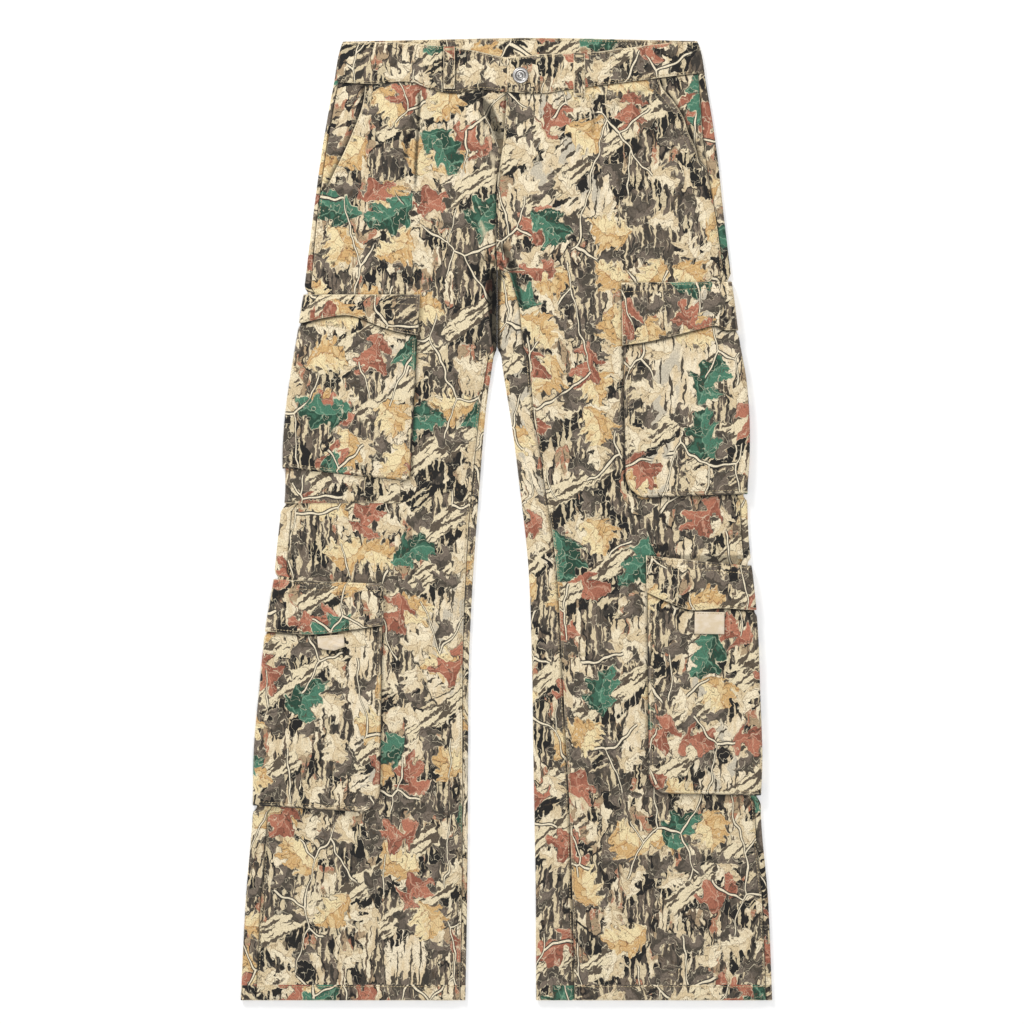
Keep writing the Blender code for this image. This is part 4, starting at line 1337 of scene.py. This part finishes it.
def waistband_front(leg, roll):
    """A front length of the waistband, from the fly round the side to half of its turn."""
    fly, out = FLY["across"][0], OUTSIDE[leg]
    edge = float(between(OUTLINE, leg, SIDE_OF_WAIST)) - out * TURN
    if leg == "right":
        joined = np.array([-3.2, -1.6, -0.7, 0, 0.7, 1.6, 3.2]) + BAND_JOIN
        outer_part = np.linspace(edge, joined[0] - 2, 32)
        across = np.hstack([outer_part, joined, np.linspace(joined[-1] + 2, fly + UNDERLAP, 58)])
    else:
        across = fly + crowded(edge - fly, 2.2, both=False) * (edge - fly)
    start = band_top(across)
    down = start + (waist_seam(across) - start) * crowded(44, 1.9)[:, None]
    x = across + 0 * down
    height = band_height(leg, x, down)
    if leg == "right":
        height = height - (BAND + 0.4) * ease((x - fly + 12) / 10) - 0.6 * bell(x - BAND_JOIN, 0.8)
    else:
        height = height + rounded(x - fly, 0.8, 1.5) + stitched(x - fly, 2.4)

    # The turn at the side: its columns lie outside those above, and lean as the outline does.
    angles = np.linspace(0, math.pi / 2, 8)[:-1]
    last = 0 if leg == "right" else -1
    turned = [
        edge + out * TURN * np.cos(angles) + 0 * height[:, [last]],
        down[:, [last]] + 0 * angles,
        height[:, [last]] * (np.sin(angles) * 0.5 + 0.5),
    ]
    lean = smooth(OUTLINE, leg, down) - (edge + out * TURN)
    turned.append(lean[:, [last]] + 0 * angles)
    if leg == "left":
        turned = [part[:, ::-1] for part in turned]
    x, down, height, lean = (
        np.hstack(in_order(leg, *parts)) for parts in zip(turned, (x, down, height, lean))
    )
    x = x + lean * ease((np.abs(x) - abs(edge) + 26) / 26)

    wear_and_shade = 0.75 * bell(down - band_top(x), 1.5) + 0.5 * bell(waist_seam(x) - down, 1.2)
    # Painted shade on the band beside the belt loop, and painted highlight and shade along the
    # creases.
    from_loop = np.abs(x - LOOPS[leg][0]) - LOOP_WIDTH / 2
    wear_and_shade = wear_and_shade - 0.8 * beside(from_loop, 1.7) + crease_wear_highlight_and_shade(x, down)
    shifted = None
    if leg == "right":
        shifted = (cell_middles(x) < BAND_JOIN)[..., None] * np.array((0.33, -0.21))
    else:
        wear_and_shade = np.maximum(wear_and_shade, 0.6 * bell(x - fly, 1.4))
    cloth(
        f"waistband_front_{leg}",
        (x, down, height),
        roll,
        f"waistband_{leg}",
        thickness=BAND,
        wear_and_shade=wear_and_shade,
        shifted=shifted,
    )

    def face(x, at):
        return band_height(leg, x, at)

    at = np.arange(*{"right": (-170, -2), "left": (3, 200)}[leg], STITCH_STEP)
    sew(face, at, band_top(at) + 2.6)
    sew(face, at, waist_seam(at) - 2.4)
    if leg == "left":
        sew(face, 3.0, np.arange(band_top(3.0) + 4, waist_seam(3.0) - 4, STITCH_STEP))


def waistband_back(roll):
    """The back length: on the table behind, turned up at both sides to under the front lengths."""
    middle = 14.0  # across to where its two halves meet
    halves = []
    for leg, out in OUTSIDE.items():
        edge = float(between(OUTLINE, leg, SIDE_OF_WAIST))
        turn_x, turn_z = (part[8:] for part in half_turn(edge, out, LIP, TURN, 15))
        floor = turn_x[-1] + (middle - turn_x[-1]) * crowded(190, 4.0)[1:-1]
        across = np.concatenate([turn_x, floor])
        start = back_top(across)
        down = start + (back_waist_seam(across) - start) * crowded(48, 2.4)[:, None]
        far = ease((out * (edge - across) - 60) / 60)
        moved = across + (smooth(OUTLINE, leg, down) - edge) * (1 - far)
        from_edge = np.minimum(down - start, back_waist_seam(across) - down)
        height = 0.5 * bell(from_edge, 1.4) + 0.25 * bell(from_edge - 2.6, 0.9)
        height = height + under_relief(moved, down) * 0.7 * ease(from_edge / 8)
        turned = len(turn_x)
        height[:, :turned] = top(leg, moved[:, :turned], down[:, :turned]) * turn_z / LIP
        halves.append((moved, down, height))
    x, down, height = (np.hstack([right, left[:, ::-1]]) for right, left in zip(*halves))
    cloth(
        "waistband_inside",
        (x, down, height),
        roll,
        "waistband_back",
        thickness=BAND,
        wear_and_shade=0.6 * bell(down - back_top(x), 1.4),
        under=True,
    )
    at = np.arange(-165, 198, STITCH_STEP)
    line = back_top(at) + 2.6
    THREADS.row(at, line, BAND + 0.18)
    THREADS.row(at, line, 0.1, up=-1.0)
    THREADS.row(at, back_waist_seam(at) - 2.6, 0.1, up=-1.0)


def belt_loop(leg, roll):
    """A strap over the waistband, sewn down at both ends with bar tacks, standing off between."""
    across, start, end = LOOPS[leg]
    x = across + (crowded(LOOP_WIDTH, 1.2, edge=(0, 0.4, 0.9, 1.5)) - 0.5) * LOOP_WIDTH
    share = crowded(end - start, 1.6, edge=(0, 0.5, 1.1, 2.0, 3.2))[:, None]
    x, down = np.broadcast_arrays(x, start + (end - start) * share)

    def face(x, down):
        run = (down - start) / (end - start)
        arch = LOOP_ARCH * np.sin(math.pi * np.clip(run, 0, 1)) ** 0.8
        edge = LOOP_WIDTH / 2 - np.abs(x - across)
        near_end = np.minimum(down - start, end - down)
        soft = rounded(edge, 0.45, 0.9) + stitched(edge, 2.6, 0.25, 0.8)
        ends = rounded(near_end, 0.4, 1) - 0.45 * bell(near_end - 3, 2.2)
        return top(leg, x, down) + LAID_GAP + CLOTH + arch + soft + ends

    cloth(
        f"loop_{leg}",
        (x, down, face(x, down)),
        roll,
        f"belt_loop_{leg}",
        wear_and_shade=0.8 * bell(LOOP_WIDTH / 2 - np.abs(x - across), 1.0),
    )
    at = np.arange(start + 5, end - 5, 1.2)
    for inset in (-LOOP_WIDTH / 2 + 2.6, LOOP_WIDTH / 2 - 2.6):
        sew(face, across + inset, at, pitch=2.9, length=2.2, thick=0.3)
    for line in (start + 3, end - 3):
        height = float(face(np.array(across), np.array(line))) - 0.05
        THREADS.tack(across, line, height, LOOP_WIDTH - 2.4, 2.4)


# The button's profile, (radius, height) from the middle out and back below: a domed middle, a
# deep ring, a rolled rim and the rim's underside.
BUTTON_PROFILE = np.array([
    (0.0, 1.9), (0.9, 1.86), (1.7, 1.72), (2.2, 1.45), (2.5, 1.1), (2.8, 0.95), (3.6, 0.98),
    (4.4, 1.02), (4.9, 1.15), (5.1, 1.5), (5.3, 2.1), (5.6, 2.45), (6.2, 2.58), (7.0, 2.66),
    (7.8, 2.62), (8.4, 2.4), (8.8, 1.9), (9.0, 1.3), (8.9, 0.85), (8.5, 0.45), (7.9, 0.2),
    (0.0, 0.05),
])
TARNISH = ((1.0, 5.1, 0.5), (0.8, 2.6, 0.5), (0.5, 9, 0.7))  # how dark, how far out, how wide


def waist_button():
    """A turned metal button: its profile carried round a circle."""
    steps = 96
    angles = np.arange(steps) * math.tau / steps
    radius, height = BUTTON_PROFILE[1:-1].T
    ring = [radius[:, None] * np.cos(angles), radius[:, None] * np.sin(angles), height[:, None]]
    ring = np.stack(np.broadcast_arrays(*ring), axis=-1).reshape(-1, 3)
    rim = BUTTON_PROFILE[:, 0].max()
    below = top("left", BUTTON_ACROSS + rim * np.cos(angles), BUTTON_DOWN + rim * np.sin(angles))
    centre = place(BUTTON_ACROSS, BUTTON_DOWN, below.max() + SEAM_GAP)
    middle = [(0, 0, BUTTON_PROFILE[0, 1]), (0, 0, BUTTON_PROFILE[-1, 1])]
    points = np.concatenate([ring, middle]) / 1000
    index = np.arange(len(ring)).reshape(-1, steps)
    turned = np.roll(index, -1, axis=1)
    walls = np.stack([index[:-1], index[1:], turned[1:], turned[:-1]], axis=-1).reshape(-1, 4)
    first, last = len(ring), len(ring) + 1
    caps = [(first, int(a), int(b)) for a, b in zip(index[0], turned[0])]
    caps += [(last, int(b), int(a)) for a, b in zip(index[-1], turned[-1])]
    mesh = bpy.data.meshes.new("turned_button")
    mesh.from_pydata(points + centre, [], walls.tolist() + caps)
    out = np.hypot(*points[:, :2].T) * 1000
    write_values(mesh, "tarnish", sum(dark * bell(out - far, wide) for dark, far, wide in TARNISH))
    obj = link("turned_button", mesh, BUTTON_METAL, 60)
    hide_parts("waist_button")
    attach(obj, "root")


# --- cargo pockets -------------------------------------------------------------------------------


def pocket_outer(leg, down, cover):
    """The outer edge of what wraps a leg's side; `cover` is how far it lies inside the outline."""
    return smooth(OUTLINE, leg, down) - OUTSIDE[leg] * cover


def pocket_rise(share):
    """How far a bellows pocket stands out, from its mouth (share 0) to its base (1)."""
    return POCKET_MOUTH_RISE + (POCKET_BASE_RISE - POCKET_MOUTH_RISE) * ease(share / 0.45)


def carried(values):
    """A grid's last column, repeated for the columns that `wrapped` adds."""
    return np.repeat(values[:, -1:], WRAPPED, axis=1)


def wrapped(leg, across, down, height, outer):
    """A face, with the columns that carry it round the leg's side, down to just above the table."""
    drops = np.array([0.25, 0.5, 0.75, 1.0])
    angles = np.radians(np.linspace(0, 90, WRAPPED - len(drops) + 1)[1:])
    turn_x = outer + OUTSIDE[leg] * POCKET_TURN * (np.sin(angles) - 1)
    turn_z = height[:, -1:] - POCKET_TURN * (1 - np.cos(angles))
    drop_z = turn_z[:, -1:] + (TABLE_GAP - turn_z[:, -1:]) * drops
    return (
        np.hstack([across, turn_x, outer + 0 * drop_z]),
        np.hstack([down, carried(down)]),
        np.hstack([height, turn_z, drop_z]),
    )


def pocket_limits(name):
    spec = POCKETS[name]
    return max(spec["hinge"]) + FLAP_HINGE, float(max(spec["base"]))


def pocket_face(name, rows, share=None, inset=None):
    """A pocket's face at `rows` and at `share` of its width, or at `inset` from its inner edge."""
    leg, spec = name.split("_")[1], POCKETS[name]
    out = OUTSIDE[leg]
    mouth, lowest = pocket_limits(name)
    radius = spec["corner"]
    edge = np.interp(rows, [mouth, lowest], spec["inner"])
    into = np.clip(rows - (lowest - radius), 0, radius)
    start = edge + out * (radius - np.sqrt(radius**2 - into**2)) * 0.97
    lip_down = spec["lip"]["down"][-1]
    outer = pocket_outer(leg, rows, np.interp(rows, [lip_down + 2, lip_down + 7], [BAND + 0.5, 0]))
    end = outer - out * POCKET_TURN
    if share is None:
        share = inset / np.abs(end - start)
    across = start + share * (end - start)
    sag = np.array(spec["base"]) - lowest
    down = rows + (sag[0] + share * (sag[1] - sag[0])) * ease((rows - mouth) / (lowest - mouth))
    from_edge, from_base = np.abs(across - start), lowest - rows
    near = np.minimum(from_edge, from_base)
    walls = ease((from_edge + 0.3) / 2.6) * ease((from_base + 0.3) / 2.6)
    rise = pocket_rise((rows - mouth) / (lowest - mouth)) * walls
    lift = CLOTH + 0.5 if name == "thigh_right" else 0.0
    foot = lift * ease((down - GUSSET_DOWN[0] + 8) / 6)
    height = full(across, down) + LAID_GAP + CLOTH + np.maximum(rise, foot)
    height = height + 0.25 * bell(near - 2.6, 1.1) - 0.3 * bell(near - 4.6, 0.9)
    height = height + pucker(rows + across, near - 2, len(name) + 30, 0.15) * ease(near / 3)
    height = height + waves(across, down, 40 + len(name), 34, 0.2) * ease((near - 4) / 12)
    return across, down, height, outer, near


def cargo_pocket(name, roll):
    """A bellows pocket's body: it rises from the leg at its inner edge and base, round the side."""
    place_name, leg = name.split("_")
    mouth, lowest = pocket_limits(name)
    steps = crowded(lowest - mouth, 2.4, edge=(0, 0.5, 1.0, 1.6, 2.2, 2.9, 3.8, 4.9, 6.4, 8.2))
    rows = (mouth + steps * (lowest - mouth))[:, None]
    share = crowded(115, 2.4, edge=(0, 0.4, 0.9, 1.4, 2.0, 2.7, 3.6, 4.8, 6.4, 8.4), both=False)
    across, down, height, outer, near = pocket_face(name, rows, share=share[None, :])
    round_side = np.zeros((len(rows), WRAPPED))
    near = np.minimum(np.hstack([near, round_side + FAR]), lowest - rows)
    shade_round_tab = np.zeros(near.shape)
    if place_name == "calf":
        tab = TABS[leg]
        aside = np.abs(across - tab["across"]) - tab["width"] / 2
        along = np.abs(down - tab["down"] - tab["length"] / 2) - tab["length"] / 2
        off_tab = np.hypot(np.maximum(aside, 0), np.maximum(along, 0))
        shade_round_tab[:, :-WRAPPED] = 0.6 * beside(off_tab, 1.6)
    from_lip = down - smooth(POCKETS[name]["lip"], "down", share, key="share")
    from_lip = np.hstack([from_lip, carried(from_lip)])
    # Painted shade at the foot of the pocket's walls, below the flap's lip and round the pull tab.
    painted_shade = np.maximum(np.maximum(bell(near, 0.9), beside(from_lip, 3.2)), shade_round_tab)
    cloth(
        f"pocket_{place_name}_{leg}",
        wrapped(leg, across, down, height, outer),
        roll,
        f"{place_name}_pocket_{leg}",
        wear_and_shade=0.45 * bell(near - 2.5, 1.1) * (1 - painted_shade) - 0.9 * painted_shade,
        backwards=leg == "right",
    )
    at = np.arange(max(POCKETS[name]["lip"]["down"]) + 3, lowest - POCKETS[name]["corner"], 1.4)
    THREADS.row(*pocket_face(name, at, inset=4.6)[:3])
    share = np.arange(0.06, 0.99, 0.012)
    THREADS.row(*pocket_face(name, lowest - 4.6, share=share)[:3])


def flap_face(name, columns, share):
    """A flap's face at column `columns` and at `share` of the way from its sewn line to its lip."""
    leg, spec = name.split("_")[1], POCKETS[name]
    out = OUTSIDE[leg]
    hinge = np.interp(columns, [0, 1], spec["hinge"])
    lip = smooth(spec["lip"], "down", columns, key="share")
    down = hinge + (lip - hinge) * share
    inner_down, outer_down = (
        spec["hinge"][end] + (spec["lip"]["down"][end] - spec["hinge"][end]) * share
        for end in (0, -1)
    )
    outer = pocket_outer(leg, outer_down, 0.0)
    ends = [min(spec["hinge"]), max(spec["base"])]
    start = np.interp(inner_down, ends, spec["inner"]) - out * 1.2
    across = start + columns * (outer - out * POCKET_TURN - start)
    mouth, lowest = pocket_limits(name)
    climb = ease((down - hinge + 1) / (mouth - hinge - 2))
    over = CLOTH + 0.5 + pocket_rise(np.clip((down - mouth) / (lowest - mouth), 0, 1))
    height = full(across, down) + LAID_GAP + BAND + climb * over
    from_hinge, from_lip, from_inner = down - hinge, lip - down, np.abs(across - start)
    edges = (from_hinge, 1.0, 1.5), (from_lip, 0.8, 1.4), (from_inner, 0.8, 1.4)
    for distance, drop, run in edges:
        height = height + rounded(distance, drop, run) + stitched(distance, 2.6)
    height = height + stitched(from_hinge, 8.6) + pucker(across, from_lip, len(name) + 50, 0.2, 6)
    height = height + pucker(across, from_hinge, len(name) + 60, 0.2, 6)
    height = height + pucker(down, from_inner, 61, 0.14)
    for width, depth, *points in spec["grooves"]:
        height = height + crease(across, down, width, depth, *points)
    near = np.minimum(np.minimum(from_hinge, from_lip), from_inner)
    return across, down, height, outer, near


def cargo_flap(name, roll):
    """A pocket's flap: sewn along its top, it climbs over the pocket's mouth and wraps the side."""
    place_name, leg = name.split("_")
    columns, share = crowded(112, 1.9, both=False), crowded(46, 1.5)
    across, down, height, outer, near = flap_face(name, columns[None, :], share[:, None])
    cloth(
        f"flap_{place_name}_{leg}",
        wrapped(leg, across, down, height, outer),
        roll,
        f"{place_name}_flap_{leg}",
        thickness=BAND,
        wear_and_shade=0.55 * bell(np.hstack([near, carried(near)]), 1.3),
        backwards=leg == "right",
    )
    long = np.arange(0.03, 0.995, 0.012)
    depth = float(np.mean(POCKETS[name]["lip"]["down"])) - float(np.mean(POCKETS[name]["hinge"]))
    for line in (2.6 / depth, 8.6 / depth, 1 - 2.6 / depth):
        THREADS.row(*flap_face(name, long, line)[:3])
    short = np.arange(0.08, 0.93, 0.03)
    THREADS.row(*flap_face(name, 2.6 / 115, short)[:3])


def thigh_gusset(roll):
    """The bellows strip below the right thigh pocket, flat on the leg and round its side."""
    leg, out = "right", OUTSIDE["right"]
    start, end = GUSSET_DOWN

    def face(rows, share):
        outer = pocket_outer(leg, rows, BAND + 1.2)
        across = GUSSET_INNER + share * (outer - out * POCKET_TURN - GUSSET_INNER)
        from_base, from_inner = end - rows, np.abs(across - GUSSET_INNER)
        near = np.minimum(from_base, from_inner)
        height = full(across, rows) + LAID_GAP + CLOTH + rounded(near, 0.8) + stitched(near, 2.4)
        return across, rows, height + pucker(across, from_base, 71), outer, near

    columns = crowded(120, 2.4, both=False)
    rows = (start + crowded(end - start, 2.2) * (end - start))[:, None] + 0 * columns
    across, down, height, outer, near = face(rows, columns)
    cloth(
        "pocket_gusset_thigh_right",
        wrapped(leg, across, down, height, outer[:, :1]),
        roll,
        "thigh_gusset_right",
        wear_and_shade=0.6 * bell(np.hstack([near, carried(near)]), 1.2),
        backwards=True,
    )
    THREADS.row(*face(end - 2.4, np.arange(0.03, 0.99, 0.012))[:3])


def pull_tab(leg):
    """A short doubled webbing tab that lies on a calf pocket, below the flap's edge."""
    name, tab = f"calf_{leg}", TABS[leg]
    width, length = tab["width"], tab["length"]
    mouth, lowest = pocket_limits(name)
    wide = (crowded(width, 1.1, edge=(0, 0.3, 0.7, 1.2)) - 0.5) * width
    fall = (crowded(length, 1.0, edge=(0, 0.4, 0.9, 1.5)) * length)[:, None]
    angle = math.radians(tab["turn"])

    def face(wide, fall):
        from_end = length - fall
        fall = fall * np.interp(wide / width, [-0.5, -0.3, 0.1, 0.5], tab["fall"])
        across = tab["across"] + wide * math.cos(angle) - fall * math.sin(angle)
        down = tab["down"] + wide * math.sin(angle) + fall * math.cos(angle)
        rise = pocket_rise(np.clip((down - mouth) / (lowest - mouth), 0, 1))
        near = np.minimum(width / 2 - np.abs(wide), from_end)
        height = full(across, down) + 2 * LAID_GAP + CLOTH + rise + BAND
        height = height + rounded(near, 0.55, 0.9) + 0.5 * bell(fall - length * 0.62, length * 0.3)
        if leg == "right":
            height = height + crease(wide, fall, 1.6, -1.1, (-2, 3), (4, 8), (13, 12))
            height = height + crease(wide, fall, 2.4, 1.4, (1, 9), (8, 12), (14, 13))
        return across, down, height

    cloth(
        f"webbing_tab_{leg}",
        face(wide, fall),
        (0.0, 0.0, angle),
        f"pull_tab_{leg}",
        thickness=BAND,
        finish=WEBBING,
    )
    at = np.arange(-width / 2 + 2, width / 2 - 1.5, 1.0)
    THREADS.row(*face(at, 1.6), pitch=2.6, length=2.0, thick=0.3)


# --- the whole garment ---------------------------------------------------------------------------

CANVAS = printed_canvas()
WEBBING = webbing()
BUTTON_METAL = button_metal()
THREAD = sewing_thread()
THREADS = Threads()

# Where on the printed roll each piece is cut: across and along in metres, and its turn.
front("right", (0.00, 0.00, 0.02))
front("left", (0.83, 0.31, -0.03))
back("right", (1.71, 0.12, 0.02))
back("left", (2.63, 0.55, -0.02))
for number, leg in enumerate(("right", "left")):
    pocket_facing(leg, (3.4 + number * 0.3, 1.1, 0.3 - number * 0.5))
    waistband_front(leg, (4.1 + number * 0.6, 0.4, 0.05))
    pull_tab(leg)
waistband_back((5.6, 0.9, 0.0))
belt_loop("right", (6.2, 0.3, 0.1))
belt_loop("left", (6.6, 0.7, -0.1))
for number, name in enumerate(POCKETS):
    cargo_pocket(name, (7.1 + number * 0.57, 0.23 * number, 0.04))
    cargo_flap(name, (9.6 + number * 0.41, 0.37 * number, -0.05))
thigh_gusset((11.8, 0.5, 0.0))
waist_button()
THREADS.finish("topstitching", THREAD)


# --- table, light and camera ---------------------------------------------------------------------


def photo_table():
    """A wide pale matt table top, just below the garment's underside."""
    mesh = bpy.data.meshes.new("photo_table")
    corners = [(-4, -4, 0), (4, -4, 0), (4, 4, 0), (-4, 4, 0)]
    mesh.from_pydata(corners, [], [(0, 1, 2, 3)])
    finish, _, _ = material(
        "pale_table",
        Base_Color=(0.97, 0.97, 0.97, 1),
        Roughness=0.8,
        Emission_Color=(1, 1, 1, 1),
        Emission_Strength=0.1,
    )
    obj = link("photo_table", mesh, finish)
    obj.location.z = -0.0004


def lamp(name, where, aim, size, watts, tint=(1, 1, 1)):
    """A soft square lamp at `where` that faces `aim`."""
    data = bpy.data.lights.new(name, "AREA")
    data.shape, data.size, data.energy, data.color = "SQUARE", size, watts, tint
    obj = bpy.data.objects.new(name, data)
    bpy.context.scene.collection.objects.link(obj)
    obj.location = where
    away = np.array(where, float) - np.array(aim, float)
    flat = math.hypot(away[0], away[1])
    obj.rotation_euler = (math.atan2(flat, away[2]), 0, math.atan2(away[1], away[0]) + math.pi / 2)


def studio():
    """Even white surroundings, a broad lamp overhead and a lower one beyond the waist."""
    world = bpy.data.worlds.new("studio")
    world.use_nodes = True
    world.node_tree.nodes["Background"].inputs["Color"].default_value = (1, 1, 1, 1)
    world.node_tree.nodes["Background"].inputs["Strength"].default_value = 0.5
    bpy.context.scene.world = world
    lamp("overhead", (0.3, -0.4, 3.4), (0, 0, 0), 1.2, 40)
    lamp("raking", (-1.6, 2.9, 1.7), (0, -0.1, 0), 0.8, 70)


def photo_camera():
    """Straight above the garment, with a long lens whose square frame takes in `frame` of it."""
    frame, lens, sensor = 1.116, 100.0, 36.0
    data = bpy.data.cameras.new("overhead_camera")
    data.lens, data.sensor_width = lens, sensor
    obj = bpy.data.objects.new("overhead_camera", data)
    bpy.context.scene.collection.objects.link(obj)
    obj.location = (0.006, 0.0075, 0.012 + frame * lens / sensor)
    bpy.context.scene.camera = obj


photo_table()
studio()
photo_camera()
bpy.context.scene.view_settings.view_transform = "Standard"
